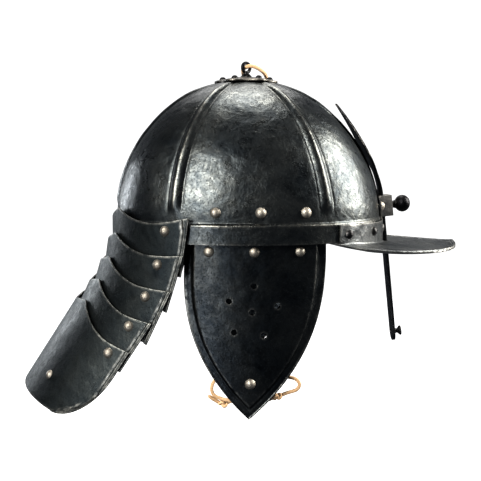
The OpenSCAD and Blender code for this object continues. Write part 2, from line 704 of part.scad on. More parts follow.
function lame_column(i, f, g) =
    let(last = angle_at(i, front_e[i]), u = abs(f), top = lame_top(u, last),
        low = lame_low(i, u, last))
    [for (j = [0 : lame_rows])
        let(s = top + (low - top) * j / lame_rows,
            shrink = angle_at(i, front_e[i] + edge_slope(i) * (s - front_s)) - last,
            v = u < low_f ? u : u + shrink * (u - low_f) / (last - low_f))
        lame_point(i, sign(f) * v, s, g)];

function lame_grid(i, g) = let(half = lame_angles(i), n = len(half)) concat(
    [for (k = [n - 1 : -1 : 1]) lame_column(i, -half[k], g)],
    [for (k = [0 : n - 1]) lame_column(i, half[k], g)]);

module pivot_bore(i, d) {
    p = lame_pivot(i);
    translate([p.x, 0, p.y]) rotate([90, 0, 0]) cylinder(d = d, h = 240, center = true, $fn = 24);
}

module lame(i) {
    color(steel_dark) difference() {
        plate(mirror_y(lame_grid(i, 0)), mirror_y(lame_grid(i, lame_t)));
        pivot_bore(i, rivet_d);
        if (i < lame_count - 1) pivot_bore(i + 1, rivet_d + 0.12);
        if (i == lame_count - 1) for (side = [-1, 1])
            at_tail(side) translate([0, 0, -4]) cylinder(d = 4, h = 8, $fn = 24);
    }
}

module lame_1() { lame(0); }
module lame_2() { lame(1); }
module lame_3() { lame(2); }
module lame_4() { lame(3); }
module lame_5() { lame(4); }

// Outward direction of the lame's surface, from the slope of its outline
function lame_normal(i, f) = let(a = lame_point(i, f - 1, 0, 0), b = lame_point(i, f + 1, 0, 0),
        along = unit(b - a), down = [lame_dir_s(i).x, 0, lame_dir_s(i).y])
    unit(cross(along, down));

module at_tail(side) {
    f = side * tail_rivet_f;
    translate(lame_point(4, f, tail_rivet_s, 0)) face_to(lame_normal(4, f)) children();
}

// A rivet pair turns with lame i and passes through it and the plate inside it
module lame_rivets(i) {
    p = lame_pivot(i);
    f = angle_at(i, 0);
    inner_y = i == 0 ? bowl_side_y(pivot_1.x, wall_z) - 0.5
        : lame_half(i - 1) * pow(1 - pow((pivot_e + lame_c) / lame_len(i - 1), plan_n), 1 / plan_n);
    color(steel_bright) for (side = [-1, 1]) {
        outer = lame_point(i, side * f, 0, 0);
        translate([p.x, 0, p.y]) rotate([-side * 90, 0, 0])
            translate([0, 0, inner_y - 5.5]) cylinder(d = rivet_d, h = abs(outer.y) - inner_y + 6,
                $fn = 24);
        translate(outer) face_to(lame_normal(i, side * f)) rivet(9, 3, 3, 0.1);
    }
}

module lame_rivets_1() { lame_rivets(0); }
module lame_rivets_2() { lame_rivets(1); }
module lame_rivets_3() { lame_rivets(2); }
module lame_rivets_4() { lame_rivets(3); }
module lame_rivets_5() { lame_rivets(4); }

module tail_rivets() {
    color(steel_bright) for (side = [-1, 1]) at_tail(side)
        translate([0, 0, 0.05]) rivet(8, 2.4, 4, 3.4);
}

skull_bowl();
finial_plate();
finial_eye();
finial_nut();
finial_rivets();
hanging_thong();
side_rivets_right();
side_rivets_left();
side_washers_right();
side_washers_left();
hinge_leather_upper_right();
hinge_leather_upper_left();
liner_band();
liner_tongues();
liner_lace();
peak();
peak_rivets();
nasal_bracket();
bracket_rivets();
nasal_bar();
nasal_button();
thumbscrew_shank();
thumbscrew_knob();
cheek_plate_right();
cheek_rivets_right();
hinge_leather_lower_right();
tip_rivet_right();
lace_tab_right();
chin_lace_right();
cheek_plate_left();
cheek_rivets_left();
hinge_leather_lower_left();
tip_rivet_left();
lace_tab_left();
chin_lace_left();
lame_1();
lame_2();
lame_3();
lame_4();
lame_5();
lame_rivets_1();
lame_rivets_2();
lame_rivets_3();
lame_rivets_4();
lame_rivets_5();
tail_rivets();
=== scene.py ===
"""Lobster-tailed pot helmet: the looks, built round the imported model.

Every shape is worked out in millimetres, in the model's frame, and made in metres.
"""
import json
import math

import bmesh
import bpy
import numpy as np
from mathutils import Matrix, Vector, kdtree, noise


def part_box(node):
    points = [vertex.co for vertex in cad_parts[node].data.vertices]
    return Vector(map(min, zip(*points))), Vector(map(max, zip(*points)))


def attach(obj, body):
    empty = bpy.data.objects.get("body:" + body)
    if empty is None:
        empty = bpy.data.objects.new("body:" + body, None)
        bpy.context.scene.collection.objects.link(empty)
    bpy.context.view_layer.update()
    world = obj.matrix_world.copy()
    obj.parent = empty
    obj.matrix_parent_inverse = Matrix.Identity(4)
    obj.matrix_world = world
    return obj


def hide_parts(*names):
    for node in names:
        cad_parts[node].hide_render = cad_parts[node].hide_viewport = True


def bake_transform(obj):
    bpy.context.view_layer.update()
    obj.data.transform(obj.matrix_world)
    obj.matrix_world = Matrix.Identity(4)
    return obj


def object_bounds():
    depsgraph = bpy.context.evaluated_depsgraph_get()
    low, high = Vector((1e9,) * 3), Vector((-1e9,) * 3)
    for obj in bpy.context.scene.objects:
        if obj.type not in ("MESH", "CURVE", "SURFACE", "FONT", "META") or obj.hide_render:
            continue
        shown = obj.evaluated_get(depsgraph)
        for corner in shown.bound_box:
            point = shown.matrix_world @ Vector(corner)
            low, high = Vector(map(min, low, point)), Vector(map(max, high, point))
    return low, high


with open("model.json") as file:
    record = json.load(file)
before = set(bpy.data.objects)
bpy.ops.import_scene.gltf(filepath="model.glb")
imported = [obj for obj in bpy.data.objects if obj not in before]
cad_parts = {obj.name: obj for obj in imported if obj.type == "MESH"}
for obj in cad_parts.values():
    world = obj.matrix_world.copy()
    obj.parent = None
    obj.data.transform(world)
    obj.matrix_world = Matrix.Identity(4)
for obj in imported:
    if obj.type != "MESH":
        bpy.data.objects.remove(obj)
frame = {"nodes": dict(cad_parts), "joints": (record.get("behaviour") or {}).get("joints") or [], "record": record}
cad_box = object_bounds()

MM = 0.001
JOINTS = {joint["name"]: joint for joint in frame["joints"]}


def box_mm(node):
    """The lowest and highest corner of a CAD node, in millimetres."""
    low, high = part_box(node)
    return np.array(low) / MM, np.array(high) / MM


# ---------------------------------------------------------------- camera, light and floor

AIM = Vector((-0.0091, 0.0, -0.0069))
CAMERA_DISTANCE = 0.75
CAMERA_AZIMUTH = -1.0
CAMERA_ELEVATION = 6.0
VIEW_WIDTH = 0.4483                  # width of the view at the aim point


def direction(azimuth, elevation):
    """The unit vector towards a viewer: azimuth 0 is the wearer's right, 90 the front."""
    a, e = math.radians(azimuth), math.radians(elevation)
    return Vector((math.sin(a) * math.cos(e), -math.cos(a) * math.cos(e), math.sin(e)))


def make_camera():
    data = bpy.data.cameras.new("camera")
    data.sensor_width = 36.0
    data.lens = data.sensor_width * CAMERA_DISTANCE / VIEW_WIDTH
    camera = bpy.data.objects.new("camera", data)
    back = direction(CAMERA_AZIMUTH, CAMERA_ELEVATION)
    camera.location = AIM + back * CAMERA_DISTANCE
    camera.rotation_mode = "QUATERNION"
    camera.rotation_quaternion = (-back).to_track_quat("-Z", "Y")
    bpy.context.collection.objects.link(camera)
    bpy.context.scene.camera = camera


def softbox(name, azimuth, elevation, distance, size, power, colour):
    """A square area light that looks at the helmet."""
    data = bpy.data.lights.new(name, "AREA")
    data.shape = "RECTANGLE"
    data.size, data.size_y = size
    data.energy = power
    data.color = colour
    light = bpy.data.objects.new(name, data)
    back = direction(azimuth, elevation)
    light.location = AIM + back * distance
    light.rotation_mode = "QUATERNION"
    light.rotation_quaternion = (-back).to_track_quat("-Z", "Y")
    bpy.context.collection.objects.link(light)


def make_world():
    """White to the camera, and a dim room to everything that reflects it."""
    world = bpy.data.worlds.new("room")
    bpy.context.scene.world = world
    world.use_nodes = True
    nodes, links = world.node_tree.nodes, world.node_tree.links
    nodes.clear()
    path = nodes.new("ShaderNodeLightPath")
    white = nodes.new("ShaderNodeBackground")
    white.inputs["Color"].default_value = (1, 1, 1, 1)
    white.inputs["Strength"].default_value = 1.0
    dim = nodes.new("ShaderNodeBackground")
    dim.inputs["Color"].default_value = (0.80, 0.88, 1.0, 1)
    dim.inputs["Strength"].default_value = 0.10
    mix = nodes.new("ShaderNodeMixShader")
    out = nodes.new("ShaderNodeOutputWorld")
    links.new(path.outputs["Is Camera Ray"], mix.inputs["Fac"])
    links.new(dim.outputs["Background"], mix.inputs[1])
    links.new(white.outputs["Background"], mix.inputs[2])
    links.new(mix.outputs["Shader"], out.inputs["Surface"])


def make_floor():
    mesh = bpy.data.meshes.new("floor")
    half, level = 3.0, cad_box[0].z - 0.45
    mesh.from_pydata([(-half, -half, level), (half, -half, level), (half, half, level),
                      (-half, half, level)], [], [(0, 1, 2, 3)])
    floor = bpy.data.objects.new("floor", mesh)
    bpy.context.collection.objects.link(floor)
    material, _, _, shader = new_material("pale_floor")
    shader.inputs["Base Color"].default_value = (0.92, 0.92, 0.92, 1)
    shader.inputs["Roughness"].default_value = 0.9
    shader.inputs["Emission Color"].default_value = (1, 1, 1, 1)
    shader.inputs["Emission Strength"].default_value = 1.0
    mesh.materials.append(material)
    floor.visible_glossy = False
    floor.visible_diffuse = False
    floor.visible_shadow = False


def new_material(name):
    material = bpy.data.materials.new(name)
    material.use_nodes = True
    nodes, links = material.node_tree.nodes, material.node_tree.links
    return material, nodes, links, nodes["Principled BSDF"]


make_camera()
make_world()
make_floor()
bpy.context.scene.view_settings.view_transform = "Standard"
bpy.context.scene.view_settings.look = "Medium High Contrast"
softbox("key_front", 92, 25, 1.15, (0.56, 0.80), 30, (1.0, 0.960, 0.87))
softbox("key_rear", -37, 27, 1.2, (0.56, 0.62), 22, (1.0, 0.960, 0.87))
softbox("overhead", 176, 76, 1.1, (0.45, 0.45), 9, (1.0, 0.955, 0.87))
softbox("far_side", 180, 44, 1.5, (1.0, 0.5), 4, (1.0, 0.98, 0.96))
softbox("behind", -128, 8, 1.4, (0.4, 0.4), 4, (0.95, 0.98, 1.0))
softbox("low_rear", -34, -10, 1.5, (0.5, 0.4), 4.5, (0.96, 0.98, 1.0))

# ---------------------------------------------------------------- materials


class Graph:
    """Short names for adding nodes to one material."""

    def __init__(self, name):
        self.material, self.nodes, self.links, self.shader = new_material(name)
        self.place = self.nodes.new("ShaderNodeTexCoord").outputs["Object"]

    def mapped(self, scale):
        node = self.nodes.new("ShaderNodeMapping")
        node.inputs["Scale"].default_value = scale
        self.links.new(self.place, node.inputs["Vector"])
        return node.outputs["Vector"]

    def noise(self, scale, detail=4.0, rough=0.6, vector=None, warp=0.0):
        node = self.nodes.new("ShaderNodeTexNoise")
        node.inputs["Scale"].default_value = scale
        node.inputs["Detail"].default_value = detail
        node.inputs["Roughness"].default_value = rough
        node.inputs["Distortion"].default_value = warp
        self.links.new(vector or self.place, node.inputs["Vector"])
        return node.outputs["Fac"]

    def cells(self, scale, smooth=0.6):
        node = self.nodes.new("ShaderNodeTexVoronoi")
        node.feature = "SMOOTH_F1"
        node.inputs["Scale"].default_value = scale
        node.inputs["Smoothness"].default_value = smooth
        self.links.new(self.place, node.inputs["Vector"])
        return node.outputs["Distance"]

    def ramp(self, value, stops):
        node = self.nodes.new("ShaderNodeValToRGB")
        elements = node.color_ramp.elements
        while len(elements) < len(stops):
            elements.new(0.5)
        for element, (at, shade) in zip(elements, stops):
            element.position = at
            element.color = (*shade, 1) if isinstance(shade, tuple) else (shade, shade, shade, 1)
        self.links.new(value, node.inputs["Fac"])
        return node.outputs["Color"]

    def math(self, kind, a, b=0.5, clamp=False):
        node = self.nodes.new("ShaderNodeMath")
        node.operation = kind
        node.use_clamp = clamp
        for socket, value in zip(node.inputs, (a, b)):
            if isinstance(value, (int, float)):
                socket.default_value = value
            else:
                self.links.new(value, socket)
        return node.outputs["Value"]

    def mix(self, factor, a, b):
        node = self.nodes.new("ShaderNodeMix")
        node.data_type = "RGBA"
        for name, value in (("Factor_Float", factor), ("A_Color", a), ("B_Color", b)):
            socket = next(s for s in node.inputs if s.identifier == name)
            if isinstance(value, tuple):
                socket.default_value = (*value, 1)
            elif isinstance(value, (int, float)):
                socket.default_value = value
            else:
                self.links.new(value, socket)
        return next(s for s in node.outputs if s.identifier == "Result_Color")

    def attribute(self, name):
        node = self.nodes.new("ShaderNodeAttribute")
        node.attribute_name = name
        return node.outputs["Fac"]

    def bump(self, height, distance, after=None):
        node = self.nodes.new("ShaderNodeBump")
        node.inputs["Distance"].default_value = distance
        node.inputs["Strength"].default_value = 1.0
        self.links.new(height, node.inputs["Height"])
        if after is not None:
            self.links.new(after, node.inputs["Normal"])
        return node.outputs["Normal"]

    def finish(self, colour, rough, normal):
        self.links.new(colour, self.shader.inputs["Base Color"])
        self.links.new(rough, self.shader.inputs["Roughness"])
        self.links.new(normal, self.shader.inputs["Normal"])
        return self.material


def worked_steel(name, dark, light, worn_and_sheen, rough=(0.30, 0.46), dents=0.35):
    """Blackened plate: hammer marks, patchy bloom, pitting and bright edges, which are edge wear and, on the
    lames, also a painted highlight along the flange crease.
    """
    g = Graph(name)
    patches = g.ramp(g.noise(26, 7, 0.68, warp=0.5), [(0.36, 0.0), (0.66, 1.0)])
    stains = g.ramp(g.noise(110, 6, 0.72, warp=0.9), [(0.42, 0.0), (0.60, 1.0)])
    pits = g.ramp(g.noise(640, 3, 0.7), [(0.36, 1.0), (0.47, 0.0)])
    fine = g.noise(1300, 3, 0.6)
    edge_noise = g.ramp(g.noise(170, 5, 0.7), [(0.38, 0.04), (0.66, 0.75)])
    wear_and_sheen = g.math("MULTIPLY", g.attribute("wear_and_sheen"), edge_noise, clamp=True)
    bloom = g.math("MULTIPLY", patches, g.math("ADD", g.math("MULTIPLY", stains, 0.6), 0.4))
    colour = g.mix(bloom, dark, light)
    colour = g.mix(g.math("MULTIPLY", pits, 0.55), colour, tuple(0.45 * c for c in dark))
    # lightens marked edges: edge wear, and on the lames also a painted highlight along the flange crease
    colour = g.mix(wear_and_sheen, colour, worn_and_sheen)
    low, high = rough
    spread = g.mix(stains, (high, high, high), (low, low, low))
    spread = g.mix(g.math("MULTIPLY", pits, 0.7), spread, (high + 0.14,) * 3)
    spread = g.mix(wear_and_sheen, spread, (low, low, low))
    hammer = g.math("ADD", g.cells(95, 0.8), g.math("MULTIPLY", g.noise(150, 4, 0.6), 1.4))
    normal = g.bump(hammer, dents * MM)
    relief = g.math("SUBTRACT", g.math("MULTIPLY", fine, 0.6), pits)
    normal = g.bump(relief, 0.03 * MM, after=normal)
    g.shader.inputs["Metallic"].default_value = 1.0
    return g.finish(colour, spread, normal)


def leather(name, dark, light, grain_scale=420):
    g = Graph(name)
    patches = g.noise(60, 5, 0.65)
    pores = g.cells(grain_scale, 0.3)
    fibres = g.noise(1.0, 3, 0.6, g.mapped((180, 180, 700)))
    colour = g.mix(g.ramp(patches, [(0.3, 0.0), (0.7, 1.0)]), dark, light)
    colour = g.mix(g.math("MULTIPLY", g.ramp(fibres, [(0.35, 1.0), (0.6, 0.0)]), 0.35), colour,
                   tuple(0.6 * c for c in dark))
    wear_and_sheen = g.math("MULTIPLY", g.attribute("wear_and_sheen"), 0.6)
    colour = g.mix(wear_and_sheen, colour, tuple(min(1.0, 1.25 * c) for c in light))
    rough = g.mix(patches, (0.62, 0.62, 0.62), (0.80, 0.80, 0.80))
    normal = g.bump(g.math("ADD", pores, fibres), 0.12 * MM)
    g.shader.inputs["Sheen Weight"].default_value = 0.15
    return g.finish(colour, rough, normal)


MATERIALS = {
    "skull_steel": worked_steel("skull_steel", (0.030, 0.036, 0.042), (0.108, 0.114, 0.112),
                                (0.26, 0.255, 0.235), (0.27, 0.38), dents=0.36),
    "finial_steel": worked_steel("finial_steel", (0.040, 0.041, 0.043), (0.11, 0.107, 0.10),
                                 (0.30, 0.28, 0.25), (0.36, 0.48), dents=0.25),
    "peak_steel": worked_steel("peak_steel", (0.070, 0.077, 0.085), (0.190, 0.194, 0.194),
                               (0.42, 0.41, 0.39), (0.32, 0.44), dents=0.60),
    "cheek_steel": worked_steel("cheek_steel", (0.014, 0.018, 0.023), (0.062, 0.066, 0.067),
                                (0.24, 0.24, 0.23), (0.30, 0.44), dents=0.30),
    # the lames' light edge colour is edge wear and also a painted highlight along the flange crease
    "lame_steel": worked_steel("lame_steel", (0.020, 0.025, 0.029), (0.056, 0.063, 0.064),
                               (0.38, 0.38, 0.36), (0.38, 0.50), dents=0.22),
    "nasal_steel": worked_steel("nasal_steel", (0.024, 0.025, 0.029), (0.075, 0.077, 0.080),
                                (0.30, 0.29, 0.28), (0.34, 0.46), dents=0.22),
    "black_steel": worked_steel("black_steel", (0.010, 0.010, 0.012), (0.022, 0.022, 0.025),
                                (0.12, 0.12, 0.12), (0.38, 0.50), dents=0.18),
    "bare_steel": worked_steel("bare_steel", (0.13, 0.13, 0.132), (0.26, 0.256, 0.25),
                               (0.42, 0.41, 0.39), (0.42, 0.54), dents=0.20),
    "bright_rivet": worked_steel("bright_rivet", (0.24, 0.22, 0.195), (0.46, 0.43, 0.385),
                                 (0.52, 0.49, 0.44), (0.46, 0.58), dents=0.30),
    "dark_rivet": worked_steel("dark_rivet", (0.025, 0.025, 0.028), (0.06, 0.06, 0.06),
                               (0.24, 0.23, 0.22), (0.32, 0.44), dents=0.25),
    "washer_steel": worked_steel("washer_steel", (0.16, 0.16, 0.16), (0.27, 0.265, 0.255),
                                 (0.38, 0.37, 0.35), (0.42, 0.52), dents=0.10),
    "tan_leather": leather("tan_leather", (0.48, 0.29, 0.15), (0.74, 0.50, 0.295), 700),
    "dark_leather": leather("dark_leather", (0.10, 0.050, 0.026), (0.19, 0.10, 0.052)),
    "liner_leather": leather("liner_leather", (0.16, 0.085, 0.045), (0.27, 0.16, 0.09)),
    "thread": leather("thread", (0.50, 0.42, 0.30), (0.66, 0.58, 0.44), 1500),
}

# ---------------------------------------------------------------- mesh helpers


def ease(v):
    c = np.clip(v, 0.0, 1.0)
    return c * c * (3 - 2 * c)


def spow(v, p):
    return np.sign(v) * np.abs(v) ** p


def new_object(name, points, faces):
    """A mesh object from points in millimetres, with doubles merged and faces turned outwards."""
    mesh = bpy.data.meshes.new(name)
    mesh.from_pydata((np.asarray(points, float) * MM).tolist(), [], [list(f) for f in faces])
    bm = bmesh.new()
    bm.from_mesh(mesh)
    bmesh.ops.remove_doubles(bm, verts=bm.verts, dist=0.002 * MM)
    bmesh.ops.recalc_face_normals(bm, faces=bm.faces)
    bm.to_mesh(mesh)
    bm.free()
    obj = bpy.data.objects.new(name, mesh)
    bpy.context.collection.objects.link(obj)
    return obj


def grid_faces(n, m, start=0, wrap=False, flip=False):
    """Quads of a grid of n columns and m rows of points."""
    quads = []
    for i in range(n if wrap else n - 1):
        a, b = start + i * m, start + ((i + 1) % n) * m
        for j in range(m - 1):
            quad = (a + j, b + j, b + j + 1, a + j + 1)
            quads.append(quad[::-1] if flip else quad)
    return quads


def plate(name, outer, inner, wrap=False):
    """A closed plate between two grids of points, given as [column, row, xyz]."""
    n, m = outer.shape[:2]
    k = n * m
    faces = grid_faces(n, m, 0, wrap) + grid_faces(n, m, k, wrap, flip=True)
    for i in range(n if wrap else n - 1):
        a, b = i * m, ((i + 1) % n) * m
        faces.append((a, a + k, b + k, b))
        faces.append((b + m - 1, b + m - 1 + k, a + m - 1 + k, a + m - 1))
    if not wrap:
        last = (n - 1) * m
        for j in range(m - 1):
            faces.append((j + 1, j + 1 + k, j + k, j))
            faces.append((last + j, last + j + k, last + j + 1 + k, last + j + 1))
    return new_object(name, np.concatenate([outer.reshape(-1, 3), inner.reshape(-1, 3)]), faces)


def loft(name, rings):
    """A closed solid through rings of points, [ring, point, xyz], with a cap at each end."""
    n, m = rings.shape[:2]
    faces = []
    for i in range(n - 1):
        for j in range(m):
            j2 = (j + 1) % m
            faces.append((i * m + j, i * m + j2, (i + 1) * m + j2, (i + 1) * m + j))
    faces.append(tuple(range(m))[::-1])
    faces.append(tuple((n - 1) * m + j for j in range(m)))
    return new_object(name, rings.reshape(-1, 3), faces)


def normals(grid, wrap=False):
    """Unit normals of a grid of points, pointing to the side that its first column turns to."""
    if wrap:
        along = np.roll(grid, -1, 0) - np.roll(grid, 1, 0)
    else:
        along = np.gradient(grid, axis=0)
    down = np.gradient(grid, axis=1)
    n = np.cross(along, down)
    return n / np.maximum(np.linalg.norm(n, axis=2, keepdims=True), 1e-9)


def lumps(points, scale, seed=0.0):
    """Smooth noise at each point; scale is the size of a lump in millimetres."""
    flat = points.reshape(-1, 3) / scale + seed
    values = [noise.noise(Vector(p)) for p in flat]
    return np.array(values).reshape(points.shape[:-1])


def apply_modifiers(obj):
    graph = bpy.context.evaluated_depsgraph_get()
    mesh = bpy.data.meshes.new_from_object(obj.evaluated_get(graph))
    obj.modifiers.clear()
    obj.data = mesh
    return obj


def bevel(obj, width, angle=40.0, segments=2):
    modifier = obj.modifiers.new("bevel", "BEVEL")
    modifier.width = width * MM
    modifier.segments = segments
    modifier.limit_method = "ANGLE"
    modifier.angle_limit = math.radians(angle)
    modifier.harden_normals = False
    return apply_modifiers(obj)


def cut(obj, cutters):
    """Takes the cutters out of obj and removes them."""
    for cutter in cutters:
        modifier = obj.modifiers.new("cut", "BOOLEAN")
        modifier.operation = "DIFFERENCE"
        modifier.solver = "EXACT"
        modifier.object = cutter
        apply_modifiers(obj)
        bpy.data.objects.remove(cutter)
    return obj


def shade(obj, sharp=42.0, reach=1.0, worn_and_sheen_from=28.0):
    """Smooth shading with sharp edges kept, and the wear-and-sheen attribute near those edges: edge wear, and on
    the lames also a painted highlight along the flange crease.
    """
    bm = bmesh.new()
    bm.from_mesh(obj.data)
    worn_and_sheen = set()
    for edge in bm.edges:
        angle = edge.calc_face_angle(0.0)
        edge.smooth = angle < math.radians(sharp)
        if edge.is_convex and angle > math.radians(worn_and_sheen_from):
            worn_and_sheen.update(v.index for v in edge.verts)
    for face in bm.faces:
        face.smooth = True
    tree = kdtree.KDTree(max(1, len(worn_and_sheen)))
    bm.verts.ensure_lookup_table()
    for index in worn_and_sheen:
        tree.insert(bm.verts[index].co, index)
    tree.balance()
    values = np.zeros(len(bm.verts), np.float32)
    if worn_and_sheen:
        for v in bm.verts:
            far = tree.find(v.co)[2] / MM
            values[v.index] = math.exp(-(far / reach) ** 2)
    bm.to_mesh(obj.data)
    bm.free()
    attribute = obj.data.attributes.get("wear_and_sheen") or obj.data.attributes.new("wear_and_sheen", "FLOAT", "POINT")
    attribute.data.foreach_set("value", values)
    return obj


def complete(obj, slot, body, replaced=(), material=None):
    """Gives a piece the material of its slot, puts it on its body, and hides the CAD nodes it replaces."""
    obj.data.materials.clear()
    obj.data.materials.append(MATERIALS[material or slot])
    if body:
        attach(obj, body)
    if replaced:
        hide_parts(*replaced)
    return obj


def body_of(node):
    bodies = frame["record"]["behaviour"]["bodies"]
    return next(body for body, members in bodies.items() if node in members)


def slot_of(node):
    return next(s["material_slot"] for s in frame["record"]["subparts"] if s["node"] == node)


def worked_copy(node, round_edge=0.0, dent=0.0, lump=3.0):
    """A finished piece in a CAD node's shape, with rounded edges and slight forging marks."""
    source = frame["nodes"][node].data
    mesh = source.copy()
    bm = bmesh.new()
    bm.from_mesh(mesh)
    bmesh.ops.remove_doubles(bm, verts=bm.verts, dist=0.003 * MM)
    if not dent:
        bmesh.ops.dissolve_limit(bm, angle_limit=math.radians(0.8), verts=bm.verts,
                                 edges=bm.edges)
    bm.to_mesh(mesh)
    bm.free()
    obj = bpy.data.objects.new(node + "_finished", mesh)
    bpy.context.collection.objects.link(obj)
    if round_edge:
        bevel(obj, round_edge, 32.0, 2)
    if dent:
        co = np.array([v.co for v in obj.data.vertices]) / MM
        out = np.array([v.normal for v in obj.data.vertices])
        co = co + out * (dent * lumps(co, lump, 3.0))[:, None]
        obj.data.vertices.foreach_set("co", (co * MM).astype(np.float32).ravel())
    shade(obj, reach=0.6)
    return complete(obj, slot_of(node), body_of(node), [node])


# ---------------------------------------------------------------- laces

LACE_D = 3.0
THONG_D = 3.2
TUBE_N = 2.6                         # 2 is a round section, more is squarer
PATH_STEPS = 5                       # path points per point of a route
CHIN_ROUTE = [
    (-0.003, -0.0975, -0.117), (0.003, -0.095, -0.113), (0.011, -0.093, -0.1105),
    (0.02, -0.092, -0.1105), (0.0285, -0.092, -0.1115), (0.0355, -0.092, -0.1135),
    (0.0385, -0.092, -0.118), (0.036, -0.092, -0.1225), (0.0285, -0.092, -0.125),
    (0.02, -0.0925, -0.128), (0.01, -0.0935, -0.131), (-0.001, -0.094, -0.1325),
    (-0.011, -0.094, -0.1325), (-0.02, -0.0935, -0.131), (-0.028, -0.093, -0.129),
    (-0.0335, -0.093, -0.1255), (-0.0345, -0.093, -0.119), (-0.031, -0.093, -0.1125),
    (-0.024, -0.0925, -0.108), (-0.0155, -0.091, -0.1075), (-0.009, -0.089, -0.1115),
    (-0.0075, -0.088, -0.1195), (-0.0115, -0.0885, -0.1275), (-0.0185, -0.0895, -0.1325),
    (-0.0255, -0.0905, -0.1345), (-0.0315, -0.0915, -0.1315), (-0.0375, -0.0925, -0.127),
]
THONG_ROUTE = [
    (-0.002, 0.039, 0.1315), (-0.003, 0.0325, 0.135), (-0.0042, 0.026, 0.1415),
    (-0.0052, 0.02, 0.1435), (-0.0063, 0.0135, 0.147), (-0.0067, 0.0065, 0.1505),
    (-0.0039, 0.0, 0.152), (0.0005, -0.004, 0.1525), (0.0055, -0.005, 0.151),
    (0.01, -0.003, 0.1485), (0.0132, 0.002, 0.146), (0.015, 0.009, 0.1435),
    (0.0162, 0.0165, 0.1415), (0.0168, 0.024, 0.1385), (0.015, 0.0315, 0.136),
    (0.0105, 0.038, 0.133), (0.004, 0.043, 0.1295), (-0.004, 0.046, 0.128),
    (-0.012, 0.046, 0.1285), (-0.019, 0.0425, 0.1295), (-0.0235, 0.0365, 0.1315),
]


def smooth_path(points):
    """A finer path through the same points, in the points' own units."""
    p = np.array(points, float)
    padded = np.concatenate([[2 * p[0] - p[1]], p, [2 * p[-1] - p[-2]]])
    path = []
    for i in range(len(p) - 1):
        a, b, c, d = padded[i:i + 4]
        for t in np.arange(PATH_STEPS) / PATH_STEPS:
            path.append(0.5 * (2 * b + (c - a) * t + (2 * a - 5 * b + 4 * c - d) * t ** 2
                               + (3 * b - a - 3 * c + d) * t ** 3))
    return np.array(path + [p[-1]])


def tube(name, path, diameter, closed=False, sides=16):
    """A lace along a path in millimetres, with a slightly squared section and eased ends."""
    n = len(path)
    if closed:
        tangents = np.roll(path, -1, 0) - np.roll(path, 1, 0)
    else:
        tangents = np.gradient(path, axis=0)
    tangents /= np.linalg.norm(tangents, axis=1, keepdims=True)
    side = np.cross(tangents[0], (0.3, 0.9, 0.31))
    side /= np.linalg.norm(side)
    angle = 2 * np.pi * np.arange(sides) / sides
    around = np.stack([spow(np.cos(angle), 2 / TUBE_N), spow(np.sin(angle), 2 / TUBE_N)])
    rings = []
    for i in range(n):
        side = side - tangents[i] * (side @ tangents[i])
        side /= np.linalg.norm(side)
        other = np.cross(tangents[i], side)
        last = 0 if closed else min(i, n - 1 - i)
        r = diameter / 2 * (1.0 if closed or last > 1 else (0.75, 0.95)[last])
        rings.append(path[i] + r * (around[0][:, None] * side + around[1][:, None] * other))
    rings = np.array(rings)
    if closed:
        inner = grid_faces(sides, n, wrap=True)
        joined = rings.transpose(1, 0, 2)
        seam = [((j + 1) % sides * n + n - 1, (j + 1) % sides * n, j * n, j * n + n - 1)
                for j in range(sides)]
        return new_object(name, joined.reshape(-1, 3), inner + seam)
    return loft(name, rings)


def knot(name, at, towards, size, lace):
    """An overhand knot, drawn tight: a trefoil of lace about a point."""
    t = 2 * np.pi * np.arange(72) / 72
    flat = np.stack([np.sin(t) + 2 * np.sin(2 * t), np.cos(t) - 2 * np.cos(2 * t),
                     -1.3 * np.sin(3 * t)], axis=1) * size / 3
    axis = Vector(towards).normalized()
    turn = np.array(axis.to_track_quat("X", "Z").to_matrix())
    obj = tube(name, flat @ turn.T + np.array(at), lace, closed=True, sides=12)
    return shade(obj, sharp=80.0)


def mirrored(points, left):
    return [(x, -y if left else y, z) for x, y, z in points]


def chin_lace(side):
    left = side == "left"
    body = "cheek_" + side
    path = smooth_path(mirrored(CHIN_ROUTE, left))
    lace = shade(tube("chin_lace_leather_" + side, path / MM, LACE_D), sharp=70.0)
    complete(lace, "tan_leather", body, ["chin_lace_" + side])
    for k, near in enumerate((9, 24)):
        here = np.array(mirrored(CHIN_ROUTE, left)[near]) / MM
        there = np.array(mirrored(CHIN_ROUTE, left)[near + 1]) / MM
        piece = knot(f"chin_knot_{k + 1}_{side}", here, there - here, 3.1, 2.6)
        complete(piece, "tan_leather", body)


def hanging_thong():
    path = smooth_path(THONG_ROUTE)
    thong = shade(tube("hanging_thong_leather", path / MM, THONG_D), sharp=70.0)
    complete(thong, "tan_leather", "skull", ["hanging_thong"])
    for k, (i, j) in enumerate(((0, 1), (-1, -2))):
        at, before = np.array(THONG_ROUTE[i]) / MM, np.array(THONG_ROUTE[j]) / MM
        piece = knot(f"thong_knot_{k + 1}", at, at - before, 2.6, 2.4)
        complete(piece, "tan_leather", "skull")


for one_side in ("right", "left"):
    chin_lace(one_side)
hanging_thong()

# ---------------------------------------------------------------- bowl

PLAN_N = 2.15                        # roundness of the plan outline
DOME_N = 1.87                        # roundness of the dome in side view
WALL_Z = 16.0                        # height where the wall turns into the dome
STEP_END, STEP_SIDE = 1.0, 2.0       # how far the rim band stands out
CROWN_SHIFT = -2.3
SKULL_T = 1.6
RIB_H = 3.0
STEM_R = 2.55
RIB_ANGLES = [k * 60.0 for k in range(6)]
RIB_SPREAD = 112.0                   # mean radius that turns a width into an angle

bowl_low, bowl_high = box_mm("skull_bowl")
SKULL_A = (bowl_high[0] - bowl_low[0]) / 2 - STEP_END
SKULL_B = bowl_high[1] - STEP_SIDE
SKULL_H = bowl_high[2]
RIM_CX = (bowl_high[0] + bowl_low[0]) / 2
CROWN_X = RIM_CX + CROWN_SHIFT


